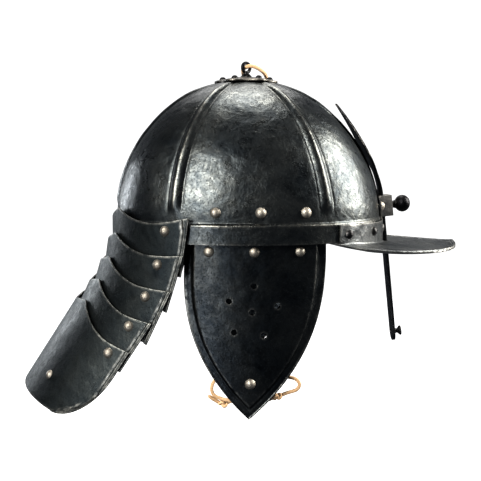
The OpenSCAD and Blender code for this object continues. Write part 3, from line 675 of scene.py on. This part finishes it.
def oval(a, b, angle):
    """A point of a plan outline at a parameter angle, in degrees."""
    f = np.radians(angle)
    return a * spow(np.cos(f), 2 / PLAN_N), b * spow(np.sin(f), 2 / PLAN_N)


def oval_y(a, b, x):
    return b * np.maximum(0.0, 1 - (np.abs(x) / a) ** PLAN_N) ** (1 / PLAN_N)


def dome_k(z):
    up = np.clip((np.asarray(z, float) - WALL_Z) / (SKULL_H - WALL_Z), 0, 1)
    return (1 - up ** DOME_N) ** (1 / DOME_N)


def bowl_cx(z):
    return RIM_CX + CROWN_SHIFT * np.asarray(z, float) / SKULL_H


def bowl_side_y(x, z):
    return oval_y(SKULL_A * dome_k(z), SKULL_B * dome_k(z), x - bowl_cx(z))


def bowl_rows():
    """Heights of the bowl's rows, with the share of the dome's size at each."""
    wall = [0, 0.5, 1.5, 4, 7, 10, 13, 14.4, 15.2, 15.8, 16.4, 17.0, 17.6, 18.2, 18.8, 20, 22,
            24.5]
    turn = np.radians(np.concatenate([np.linspace(5.2, 80, 60), np.linspace(81.2, 88.2, 7)]))
    dome_z = WALL_Z + (SKULL_H - WALL_Z) * np.sin(turn) ** (2 / DOME_N)
    return np.concatenate([wall, dome_z[dome_z > 26]])


def rib_profile(u):
    """Height across a rib: a rounded crest between two crisp creases, u = 1 at the crease."""
    crest = np.clip(1 - np.abs(u) ** 1.7, 0, 1)
    return crest - 0.10 * np.exp(-((np.abs(u) - 1.12) / 0.14) ** 2)


def skull():
    rows = bowl_rows()
    across = np.array([-1.6, -1.35, -1.2, -1.1, -1.0, -0.88, -0.7, -0.5, -0.25, 0.0, 0.25, 0.5,
                       0.7, 0.88, 1.0, 1.1, 1.2, 1.35, 1.6])
    gore = np.linspace(0, 1, 17)[1:-1]
    k = dome_k(rows)
    half_width = 3.4 + 2.6 * k
    as_angle = np.degrees(half_width / (RIB_SPREAD * np.maximum(k, 0.2)))
    columns, ribs = [], []
    for rib in RIB_ANGLES:
        for u in across:
            columns.append(rib + u * as_angle)
            ribs.append(np.full(len(rows), rib_profile(u)))
        for t in gore:
            columns.append(rib + 1.6 * as_angle + t * (60.0 - 3.2 * as_angle))
            ribs.append(np.zeros(len(rows)))
    angle, rise = np.array(columns), np.array(ribs)
    z = np.broadcast_to(rows, angle.shape)
    x0, y0 = oval(SKULL_A, SKULL_B, angle)
    sine = np.abs(np.sin(np.radians(angle)))
    step = (STEP_END + (STEP_SIDE - STEP_END) * sine ** 2) * (1 - ease((z - 15.4) / 2.4))
    step = step + 0.25 * np.exp(-((z - 15.0) / 0.9) ** 2)
    base = np.stack([bowl_cx(z) + x0 * k + step * np.cos(np.radians(angle)),
                     y0 * k + step * np.sin(np.radians(angle)), z], axis=2)
    out = -normals(base, wrap=True)
    if (out[0, 5] @ (1, 0, 0)) < 0:
        out = -out
    radius = SKULL_A * k
    rib_h = RIB_H * ease((rows - 23) / 12) * (0.30 + 0.70 * ease((radius - 24) / 34)) \
        * ease((radius - 17) / 7)
    shaped = base + out * (rise * rib_h)[..., None]
    quiet = np.clip((z - 20) / 12, 0.15, 1.0) * ease((radius - 12) / 20)
    dent = 0.42 * lumps(base, 21.0, 1.0) + 0.15 * lumps(base, 9.0, 5.0)
    shaped = shaped + out * (dent * quiet)[..., None]
    tip = np.radians(angle)
    stem = np.stack([CROWN_X + STEM_R * np.cos(tip[:, -1]), STEM_R * np.sin(tip[:, -1]),
                     np.full(len(angle), SKULL_H)], axis=1)[:, None]
    outer = np.concatenate([shaped, stem], axis=1)
    inner_out = np.concatenate([out, np.tile((0.0, 0.0, 1.0), (len(angle), 1, 1))], axis=1)
    inner = outer - inner_out * SKULL_T
    inner[:, 0, 2] = outer[:, 0, 2]
    obj = plate("skull_plate", outer, inner, wrap=True)
    bevel(obj, 0.35, 60.0)
    shade(obj, sharp=50.0, reach=1.1, worn_and_sheen_from=17.0)
    return complete(obj, "skull_steel", "skull", ["skull_bowl"])


# ---------------------------------------------------------------- finial

def finial():
    """The six-lobed plate under the eye, dished and a little uneven."""
    plate_r, plate_t, sag = 27.0, 1.4, 3.7
    top = box_mm("finial_plate")[1][2]
    radii = np.array([3.2, 4, 6, 9, 12, 15, 17.5, 19.5, 21, 22.5, 24, 25.2, 26.0, 26.6, plate_r])
    angle = 2 * np.pi * np.arange(144) / 144
    lobe = 1 + 0.07 * np.cos(6 * angle)[:, None] * ease((radii - 12) / 14)
    r = radii * lobe
    crease = -0.35 * np.exp(-((np.degrees(angle) % 60 - 30) / 4.0) ** 2)[:, None] \
        * ease((radii - 9) / 8)
    z = top - sag * (radii / plate_r) ** 2 + crease
    upper = np.stack([CROWN_X + r * np.cos(angle)[:, None], 0.96 * r * np.sin(angle)[:, None],
                      np.broadcast_to(z, r.shape)], axis=2)
    upper = upper + np.array([0, 0, 1.0]) * (0.12 * lumps(upper, 7.0, 2.0))[..., None]
    lower = upper - np.array([0, 0, plate_t])
    obj = plate("finial_plate_worked", upper, lower, wrap=True)
    bevel(obj, 0.4, 50.0)
    shade(obj, reach=1.0)
    return complete(obj, "finial_steel", "skull", ["finial_plate"])


# ---------------------------------------------------------------- peak

PEAK_T = 1.5
FLANGE_GAP = 0.5
PEAK_SPREAD = 55.0                   # half of the angle that the flange covers
BRIM_ROOT_X, BRIM_HALF = 62.0, 90.0
BRIM_TIP_Z = -6.6
SLIDE = JOINTS["nasal_slide"]
SCREW = JOINTS["thumbscrew_turn"]
BAR_UP = np.array(SLIDE["axis"], float)
BAR_OUT = np.array(SCREW["axis"], float)
BRACKET_S = 26.0                     # height of the thumbscrew along the bar
BAR_P = np.array(SCREW["pos_m"], float) / MM - BRACKET_S * BAR_UP
BAR_W, BAR_T = 16.0, 3.0
BAR_FOOT, BAR_TOP, LEAF_LEN, LEAF_W = -102.0, 38.0, 92.0, 34.0


def on_bar(points):
    """Points of the slide frame, in the model's frame."""
    side = np.cross(BAR_UP, BAR_OUT)
    return BAR_P + points[..., :1] * BAR_OUT + points[..., 1:2] * side + points[..., 2:] * BAR_UP


def crease_z(x):
    return 1 - 7.2 * np.clip((x - 69) / 51, 0, 1)


def brim_edge(f):
    tip = box_mm("peak")[1][0]
    turn = np.radians(90 * np.clip(np.abs(f) / PEAK_SPREAD, 0, 1) ** 1.05)
    return (BRIM_ROOT_X + (tip - BRIM_ROOT_X) * np.cos(turn),
            np.sign(f) * BRIM_HALF * np.sin(turn))


def brim_z(f):
    k = np.abs(f) / PEAK_SPREAD
    return BRIM_TIP_Z - 3.4 * np.sin(np.pi * k ** 0.8) + 7.9 * k ** 7


def peak_surface(lower):
    f = np.linspace(-PEAK_SPREAD, PEAK_SPREAD, 150)
    grow = 0.0 if lower else PEAK_T
    cx, cy = oval(SKULL_A + STEP_END + FLANGE_GAP + grow, SKULL_B + STEP_SIDE + FLANGE_GAP + grow, f)
    cx = cx + RIM_CX
    z_c = crease_z(cx)
    top = 14.5 - 0.5 * np.cos(np.radians(3 * f)) + 0.22 * np.sin(np.radians(17 * f))
    drop = PEAK_T if lower else 0.0
    foot = z_c + 0.9 - drop
    flange = [np.stack([cx, cy, top + (foot - top) * t], axis=1)
              for t in (0, 0.04, 0.12, 0.25, 0.4, 0.55, 0.7, 0.82, 0.91, 0.97)]
    ex, ey = brim_edge(f)
    ez = brim_z(f)
    reach = np.hypot(ex - cx, ey - cy)
    brim = []
    for u in np.concatenate([[0.004, 0.012, 0.025, 0.045, 0.07, 0.1], np.linspace(0.14, 0.86, 26),
                             np.linspace(0.875, 1.0, 18)]):
        from_edge = reach * (1 - u)
        bead = 0.95 * np.sqrt(np.clip(1 - ((from_edge - 1.5) / 1.6) ** 2, 0, 1))
        groove = -0.35 * np.exp(-((from_edge - 4.2) / 0.9) ** 2)
        lift = (bead + groove) * ease((reach - 3) / 14) * (-0.75 if lower else 1.0)
        z = (z_c + 0.9 * (1 - ease(u / 0.04))) * (1 - u) + ez * u - drop \
            - 0.4 * np.sin(np.pi * u) + lift
        brim.append(np.stack([cx + (ex - cx) * u, cy + (ey - cy) * u, z], axis=1))
    return np.stack(flange + brim, axis=1)


def peak():
    outer, inner = peak_surface(False), peak_surface(True)
    out = normals(outer)
    if out[75, 2] @ (1, 0, 0) < 0:
        out = -out
    dent = 0.30 * lumps(outer, 13.0, 4.0) + 0.14 * lumps(outer, 6.0, 9.0)
    calm = np.concatenate([np.full(10, 0.25), np.linspace(0.3, 1, 8),
                           np.ones(outer.shape[1] - 18 - 20), np.linspace(0.9, 0.05, 20)])
    ends = ease((PEAK_SPREAD - np.abs(np.linspace(-PEAK_SPREAD, PEAK_SPREAD, 150))) / 12)
    shift = out * (dent * calm * (0.15 + 0.85 * ends[:, None]))[..., None]
    obj = plate("peak_plate", outer + shift, inner + shift)
    slot = on_bar(np.array([[x, y, z] for x in (-BAR_T - 0.5, 0.5) for y in (-8.5, 8.5)
                            for z in (-22.0, 13.0)]))
    cutter = new_object("slot_cutter", slot, [(0, 1, 3, 2), (4, 6, 7, 5), (0, 4, 5, 1),
                                              (2, 3, 7, 6), (0, 2, 6, 4), (1, 5, 7, 3)])
    cut(obj, [cutter])
    bevel(obj, 0.3, 60.0)
    shade(obj, sharp=50.0, reach=0.9, worn_and_sheen_from=40.0)
    return complete(obj, "peak_steel", "skull", ["peak"])


# ---------------------------------------------------------------- nasal bar

def leaf_half(s):
    wide = BAR_W / 2 + (LEAF_W - BAR_W) / 2 * ease((s - 20) / 18)
    taper = LEAF_W / 2 * 0.97 * np.clip((s - 36) / (LEAF_LEN - 36), 0, 1) ** 1.7
    return np.where(s < 20, BAR_W / 2, wide - taper)


def nasal_bar():
    """The bar and its leaf in one loft, with a round foot and a raised middle line on the leaf."""
    r = BAR_W / 2
    foot = BAR_FOOT + r - r * np.cos(np.radians(np.linspace(8, 90, 12)))
    straight = np.linspace(BAR_FOOT + r, BAR_TOP, 40)[1:]
    leaf = BAR_TOP + 0.93 * np.linspace(0, LEAF_LEN, 60)[1:]
    stations = np.concatenate([foot, straight, leaf])
    angle = 2 * np.pi * np.arange(40) / 40
    across = spow(np.cos(angle), 2 / 16.0)
    deep = spow(np.sin(angle), 2 / 5.0)
    rings = []
    for z in stations:
        s = max(0.0, (z - BAR_TOP) / 0.93)
        half = float(leaf_half(np.array(s)))
        if z < BAR_FOOT + r:
            half = math.sqrt(max(0.5, r * r - (BAR_FOOT + r - z) ** 2))
        thick = BAR_T - 1.0 * min(1.0, s / 30)
        back = 34 * (s / LEAF_LEN) ** 1.55
        y = half * across
        wrap = y * y / 260 * ease((s - 15) / 25)
        ridge = 0.9 * np.exp(-(y / 2.2) ** 2) * ease((s - 12) / 20) * ease((LEAF_LEN - s) / 14)
        x = -back - wrap + thick / 2 * deep - thick / 2 + ridge * (deep > -0.2)
        rings.append(np.stack([x, y, np.full_like(y, z)], axis=1))
    rings = on_bar(np.array(rings))
    rings = rings + BAR_OUT * (0.07 * lumps(rings, 11.0, 6.0))[..., None]
    obj = loft("nasal_bar_forged", rings)
    shade(obj, sharp=55.0, reach=0.9, worn_and_sheen_from=24.0)
    return complete(obj, "nasal_steel", "nasal", ["nasal_bar"])


# ---------------------------------------------------------------- cheekpieces

CHEEK_TOP = 0.3
CHEEK_LEN = 144.2
CHEEK_W = 58.7
CHEEK_SQUARE = 14.0
CHEEK_Y, CHEEK_FLARE, CHEEK_T = 99.2, 4.5, 1.4
FIELD_RISE, BORDER_W = 1.8, 6.3
BREATH_D = 5.0
BREATHS = [(0, -33.5), (-20, -46), (19, -50), (-1.5, -55), (-16, -71.5), (8, -74)]
HINGE_LEATHER_T = 2.2


def below_square(z):
    return np.clip((-np.asarray(z, float) - CHEEK_SQUARE) / (CHEEK_LEN - CHEEK_SQUARE), 0, 1)


def cheek_mid(z):
    return 1.7 - 5.7 * below_square(z)


def cheek_half(z):
    return np.maximum(0.35, CHEEK_W * (1 - below_square(z) ** 2.5))


def cheek_base(x, z):
    return (CHEEK_Y + CHEEK_FLARE * np.clip(-np.asarray(z, float) / CHEEK_LEN, 0, 1)) \
        * (1 - (np.abs(x + 2) / 118) ** 2) ** 0.5


def outline_distance(x, z):
    """Distance in the side view from each point to the cheekpiece's curved outline."""
    zs = np.linspace(8, -CHEEK_LEN, 420)
    best = np.full(np.shape(x), 1e9)
    for side in (-1, 1):
        edge_x = cheek_mid(zs) + side * cheek_half(zs)
        for ex, ez in zip(edge_x, zs):
            best = np.minimum(best, (x - ex) ** 2 + (z - ez) ** 2)
    return np.sqrt(best)


def cheek_rise(x, z):
    d = outline_distance(x, z)
    field = FIELD_RISE * ease((d - BORDER_W) / 2.0)
    lip = 0.55 * np.exp(-((d - 0.6) / 0.75) ** 2)
    furrow = -0.22 * np.exp(-((d - BORDER_W + 0.6) / 0.8) ** 2)
    return field + lip + furrow


def cheek_plate(side):
    rows = np.concatenate([[CHEEK_TOP], np.linspace(-0.4, -138, 132),
                           np.linspace(-138.8, -CHEEK_LEN, 14)])
    columns = np.linspace(-1, 1, 113)
    z = np.broadcast_to(rows, (len(columns), len(rows)))
    x = cheek_mid(rows) + columns[:, None] * cheek_half(rows)
    rise = cheek_rise(x, z)
    y = -(cheek_base(x, z) + rise)
    outer = np.stack([x, y, z], axis=2)
    out = normals(outer)
    if out[56, 60] @ (0, -1, 0) < 0:
        out = -out
    dent = 0.16 * lumps(outer, 19.0, 11.0) + 0.06 * lumps(outer, 8.0, 3.0)
    outer = outer + out * (dent * ease((z + 142) / 12))[..., None]
    inner = outer.copy()
    inner[..., 1] += CHEEK_T
    obj = plate("cheek_plate_worked_" + side, outer, inner)
    cutters = []
    for bx, bz in BREATHS:
        by = -float(cheek_base(bx, bz))
        slope = float(cheek_base(bx + 1, bz) - cheek_base(bx - 1, bz)) / 2
        away = Vector((slope, 1.0, 0.0)).normalized()
        cutters.append(rod("breath_cutter", (bx, by, bz), away, BREATH_D / 2, 8.0, 28))
    cut(obj, cutters)
    bevel(obj, 0.28, 55.0)
    if side == "left":
        mirror_mesh(obj)
    shade(obj, sharp=50.0, reach=0.8, worn_and_sheen_from=22.0)
    return complete(obj, "cheek_steel", "cheek_" + side, ["cheek_plate_" + side])


def rod(name, at, axis, radius, half_length, sides):
    """A plain round rod, used to cut holes."""
    turn = np.array(Vector(axis).to_track_quat("Z", "Y").to_matrix())
    angle = 2 * np.pi * np.arange(sides) / sides
    ring = np.stack([radius * np.cos(angle), radius * np.sin(angle), np.zeros(sides)], axis=1)
    ends = [ring + (0, 0, -half_length), ring + (0, 0, half_length)]
    return loft(name, np.array(ends) @ turn.T + np.array(at))


def mirror_mesh(obj):
    """Turns a right-hand piece into the left-hand one."""
    bm = bmesh.new()
    bm.from_mesh(obj.data)
    for v in bm.verts:
        v.co.y = -v.co.y
    bmesh.ops.reverse_faces(bm, faces=bm.faces)
    bm.to_mesh(obj.data)
    bm.free()


def hinge_leather(side):
    """One strip of leather, riveted inside the bowl and inside the cheekpiece."""
    xs = np.linspace(-45, 49, 64)
    zs = np.concatenate([np.linspace(34, 4, 26), np.linspace(3, -15, 18)])
    x, z = np.meshgrid(xs, zs, indexing="ij")
    k = ease((z - 3) / 14)
    wall = bowl_side_y(x, np.maximum(z, WALL_Z)) - SKULL_T - 0.4
    fold = cheek_base(x, np.minimum(z, 0.0)) - CHEEK_T - 0.25
    low_rise = np.minimum(cheek_rise(x, np.minimum(z, 0.0)), FIELD_RISE) * ease((3.0 - z) / 4)
    y = -(wall * k + (fold + low_rise) * (1 - k))
    ripple = 0.15 * lumps(np.stack([x, y, z], axis=2), 14.0, 2.0)
    outer = np.stack([x, y, z], axis=2)
    inner = np.stack([x, y + HINGE_LEATHER_T + ripple, z], axis=2)
    obj = plate("hinge_leather_" + side, outer, inner)
    bevel(obj, 0.5, 60.0)
    if side == "left":
        mirror_mesh(obj)
    shade(obj, sharp=60.0, reach=1.2)
    complete(obj, "dark_leather", None, ["hinge_leather_upper_" + side, "hinge_leather_lower_" + side])
    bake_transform(obj)
    return obj


# ---------------------------------------------------------------- neck lames

LAME_STEP_TILT = 8.25                # tilt that each lame adds, in degrees
LAME_A, LAME_TAPER, LAME_B, LAME_GROW, LAME_C = 124.5, 0.5, 108.0, 0.5, 70.6
CUSP_F, CUSP_S, NOTCH_S = 25.0, -17.0, -4.0
LOW_F, LOW_S, FRONT_S = 50.0, -6.0, -11.5
FRONT_E = [-21.0, -21.0, -20.0, -17.0, -15.0]
FRONT_SLOPE = 0.15
LAME_LOW_SIDE, LAME_LOW_BACK = 37.0, 30.0
TAIL_LEN, TAIL_BACK_E, TAIL_SLOPE = 82.5, 52.0, 0.3
TAIL_CORNER, CORNER_REACH, CORNER_RISE = 14.0, 29.0, 48.5   # the tail's round lower corner
TAIL_FRONT_LOW = 12.0                # where the tail's straight front edge ends
LAME_T = 1.3
LAME_COUNT = 5
FLANGE_W = 3.8                       # width of the turned flange along a lame's front edge
FLANGE_OUT = 1.4
FIRST_EXTRA = 2.8                    # how much wider the first lame's flange is at its top


def angle_at(e, long):
    """The angle from the back at which the outline of a lame is e behind its pivot."""
    return np.degrees(np.arccos(np.clip(((e + LAME_C) / long) ** (PLAN_N / 2), -1, 1)))


def lame_top(f, last):
    near = NOTCH_S + (CUSP_S - NOTCH_S) * (f / CUSP_F) ** 1.2
    sweep = LOW_S + (CUSP_S - LOW_S) * (np.clip(LOW_F - f, 0, 99) / (LOW_F - CUSP_F)) ** 1.8
    front = LOW_S + (FRONT_S - LOW_S) * (np.clip(f - LOW_F, 0, 99) / (last - LOW_F)) ** 1.5
    return np.where(f < CUSP_F, near, np.where(f < LOW_F, sweep, front))


def tail_low(f, long):
    e = long * np.cos(np.radians(f)) ** (2 / PLAN_N) - LAME_C
    q = np.clip((TAIL_CORNER - e) / CORNER_REACH, 0, 1)
    low = TAIL_LEN - TAIL_SLOPE * (TAIL_BACK_E - e) - CORNER_RISE * (1 - np.sqrt(1 - q * q))
    return np.maximum(TAIL_FRONT_LOW, low)


def lame(i):
    pivot = np.array(JOINTS[f"lame_{i + 1}_pivot"]["pos_m"], float) / MM
    tilt = math.radians(i * LAME_STEP_TILT)
    e_dir = np.array([-math.cos(tilt), 0.0, math.sin(tilt)])
    s_dir = np.array([-math.sin(tilt), 0.0, -math.cos(tilt)])
    long = LAME_A - LAME_TAPER * i
    last = float(angle_at(FRONT_E[i], long))
    is_tail = i == LAME_COUNT - 1
    front = np.concatenate([np.linspace(0, 0.6, 12), np.linspace(0.63, 1, 34)])
    half = np.concatenate([np.linspace(0, CUSP_F, 13), np.linspace(CUSP_F, LOW_F, 17)[1:],
                           LOW_F + (last - LOW_F) * front[1:]])
    f = np.concatenate([-half[:0:-1], half])
    u = np.abs(f)
    top = lame_top(u, last)
    low = tail_low(u, long) if is_tail else LAME_LOW_BACK \
        + (LAME_LOW_SIDE - LAME_LOW_BACK) * (u / last) ** 2
    t = np.concatenate([[0, 0.02, 0.05, 0.09], np.linspace(0.14, 0.88, 28 if is_tail else 15),
                        [0.92, 0.95, 0.975, 0.99, 1.0]])
    s = top[:, None] + (low - top)[:, None] * t
    front_e = FRONT_E[i] + (0.0 if is_tail else FRONT_SLOPE) * (s - FRONT_S)
    shrink = angle_at(front_e, long) - last
    v = np.where(u[:, None] < LOW_F, u[:, None],
                 u[:, None] + shrink * (u[:, None] - LOW_F) / (last - LOW_F))
    rad = np.radians(v)
    half_width = LAME_B + LAME_GROW * i
    e = long * np.cos(rad) ** (2 / PLAN_N) - LAME_C
    y = np.sign(f)[:, None] * half_width * np.sin(rad) ** (2 / PLAN_N)
    grid = pivot + e[..., None] * e_dir + s[..., None] * s_dir
    grid[..., 1] = y
    out = normals(grid)
    middle = len(f) // 2
    if out[middle, 5] @ e_dir < 0:
        out = -out
    to_front = e - front_e
    # the first lame's flange is wider at the top, and the tail's runs round its lower corner
    wide = FLANGE_W + (FIRST_EXTRA * (1 - ease((s + 12) / 15)) if i == 0 else 0.0)
    if is_tail:
        below = (low[:, None] - s) * 0.8 + 6 * ease((e - 2) / 22)
        to_front = np.minimum(to_front, below)
    turned = FLANGE_OUT * ease((wide - to_front) / 1.1)
    furrow = -0.30 * np.exp(-((to_front - wide - 0.5) / 0.55) ** 2)
    lip = 0.45 * np.exp(-((to_front - 0.6) / 0.6) ** 2)
    lift = turned + furrow + lip
    dent = 0.08 * lumps(grid, 16.0, 20.0 + 3 * i) + 0.03 * lumps(grid, 7.0, i)
    outer = grid + out * (lift + dent)[..., None]
    inner = grid + out * (np.maximum(lift, 0) + np.maximum(dent, 0) - LAME_T)[..., None]
    obj = plate(f"lame_{i + 1}_worked", outer, inner)
    bevel(obj, 0.3, 55.0)
    # edges from 9 degrees up are lightened: edge wear, and a painted highlight along the flange crease
    shade(obj, sharp=50.0, reach=0.9, worn_and_sheen_from=9.0)
    return complete(obj, "lame_steel", f"lame_{i + 1}", [f"lame_{i + 1}"])


# ---------------------------------------------------------------- liner

LINER_T = 2.2
LINER_GAP = 6.4
TONGUES = 8


def liner_ring(angle, z, inset):
    x, y = oval(SKULL_A - LINER_GAP - inset, SKULL_B - LINER_GAP - inset, angle)
    return np.stack([bowl_cx(z) + x, y, np.full_like(x, z)], axis=1)


def liner_band():
    """The leather band round the brow, folded over at its lower edge."""
    angle = 360 * np.arange(160) / 160
    low, high = box_mm("liner_band")
    z0, z1 = low[2], high[2]
    section = [(z0, 0.6), (z0 + 0.6, 0.1), (z0 + 2.5, 0.0), (z0 + 6, 0.2), (z0 + 12, 0.5),
               (z1 - 1, 0.8), (z1, 1.2), (z1, 0.4 + LINER_T), (z1 - 1, 0.8 + LINER_T),
               (z0 + 12, 0.5 + LINER_T), (z0 + 6.6, 0.2 + LINER_T), (z0 + 6, 0.9 + LINER_T),
               (z0 + 2.5, 0.8 + LINER_T), (z0 + 0.4, 0.3 + LINER_T)]
    rings = np.array([liner_ring(angle, z, inset) for z, inset in section])
    m = len(angle)
    faces = []
    for i in range(len(section)):
        i2 = (i + 1) % len(section)
        for j in range(m):
            j2 = (j + 1) % m
            faces.append((i * m + j, i2 * m + j, i2 * m + j2, i * m + j2))
    rings = rings + 0.12 * lumps(rings, 10.0, 8.0)[..., None]
    obj = new_object("liner_band_leather", rings.reshape(-1, 3), faces)
    shade(obj, sharp=60.0, reach=1.2)
    return complete(obj, "liner_leather", "skull", ["liner_band"])


def liner_stitches():
    """A row of stitches that holds the fold of the band."""
    low, _ = box_mm("liner_band")
    count = 120
    points, faces = [], []
    for k in range(count):
        angle = np.array([360 * k / count, 360 * (k + 0.55) / count])
        a, b = liner_ring(angle, low[2] + 4.6, 0.75 + LINER_T)
        ends = np.linspace(a, b, 5)
        along = (b - a) / np.linalg.norm(b - a)
        up = np.array([0, 0, 1.0])
        inward = np.cross(along, up)
        start = len(points)
        for n, p in enumerate(ends):
            r = 0.42 * (0.35, 0.85, 1.0, 0.85, 0.35)[n]
            for turn in np.linspace(0, 2 * np.pi, 7)[:-1]:
                points.append(p + r * (np.cos(turn) * up + np.sin(turn) * inward))
        for n in range(4):
            for j in range(6):
                j2 = (j + 1) % 6
                faces.append((start + n * 6 + j, start + n * 6 + j2, start + n * 6 + 6 + j2,
                              start + n * 6 + 6 + j))
        faces.append(tuple(start + j for j in range(6)))
        faces.append(tuple(start + 24 + j for j in range(6))[::-1])
    obj = new_object("liner_stitches", points, faces)
    shade(obj, sharp=80.0)
    return complete(obj, "liner_leather", "skull", material="thread")


def liner_tongue(k):
    """A tongue of the lining, from the band up to the lace at the crown."""
    middle = 360 * (k + 0.5) / TONGUES
    levels = np.concatenate([np.linspace(123, 118, 5), np.linspace(114, 35, 26)])
    spread = np.linspace(-2, 2, 21)
    z = np.broadcast_to(levels, (len(spread), len(levels)))
    up = (z - 35) / 88.0
    corner = 1 - 0.22 * ease((z - 116) / 7) ** 2
    f = middle + spread[:, None] * (9.6 - 2 * up + 1.5 * up ** 2) * corner
    k_here = dome_k(z + 8 * up)

    def surface(inset):
        x, y = oval(SKULL_A - inset, SKULL_B - inset, f)
        pull = 3.5 * (1 - up)
        rad = np.radians(f)
        return np.stack([bowl_cx(z) + x * k_here - pull * np.cos(rad),
                         y * k_here - pull * np.sin(rad), z], axis=2)

    outer, inner = surface(4.2), surface(6.2)
    wave = 0.35 * lumps(outer, 15.0, 30.0 + k)
    away = outer - inner
    away /= np.linalg.norm(away, axis=2, keepdims=True)
    obj = plate(f"liner_tongue_{k + 1}", outer + 0.4 * away * wave[..., None],
                inner + away * wave[..., None])
    bevel(obj, 0.45, 60.0)
    shade(obj, sharp=60.0, reach=1.2)
    return complete(obj, "liner_leather", "skull", ["liner_tongues"] if k == 0 else [])


def liner_lace():
    angle = 2 * np.pi * np.arange(120) / 120
    low, high = box_mm("liner_lace")
    centre, r = (low + high) / 2, (high[0] - low[0]) / 2 - 1.3
    path = np.stack([centre[0] + r * np.cos(angle), centre[1] + r * np.sin(angle),
                     centre[2] + 0.3 * np.sin(8 * angle)], axis=1)
    obj = shade(tube("liner_lace_leather", path, 2.6, closed=True, sides=12), sharp=70.0)
    return complete(obj, "tan_leather", "skull", ["liner_lace"])


# ---------------------------------------------------------------- the whole helmet

skull()
finial()
peak()
nasal_bar()
for number in range(LAME_COUNT):
    lame(number)
for one_side in ("right", "left"):
    cheek_plate(one_side)
    hinge_leather(one_side)
liner_band()
liner_stitches()
for number in range(TONGUES):
    liner_tongue(number)
liner_lace()

# the small hardware: node, rounded edge, dents and their size
for hardware in (("finial_eye", 0.0, 0.08, 4.0), ("finial_nut", 0.35),
                 ("finial_rivets", 0.0, 0.12, 2.5), ("nasal_bracket", 0.4),
                 ("nasal_button", 0.25), ("thumbscrew_shank", 0.25),
                 ("thumbscrew_knob", 0.0, 0.06, 5.0), ("bracket_rivets", 0.0, 0.10),
                 ("peak_rivets", 0.0, 0.16), ("tail_rivets", 0.0, 0.10)):
    worked_copy(*hardware)
for one_side in ("right", "left"):
    worked_copy("side_rivets_" + one_side, 0.0, 0.10)
    worked_copy("side_washers_" + one_side, 0.2)
    worked_copy("cheek_rivets_" + one_side, 0.0, 0.10)
    worked_copy("tip_rivet_" + one_side, 0.0, 0.10)
    worked_copy("lace_tab_" + one_side, 0.4)
for number in range(LAME_COUNT):
    worked_copy(f"lame_rivets_{number + 1}", 0.0, 0.10)
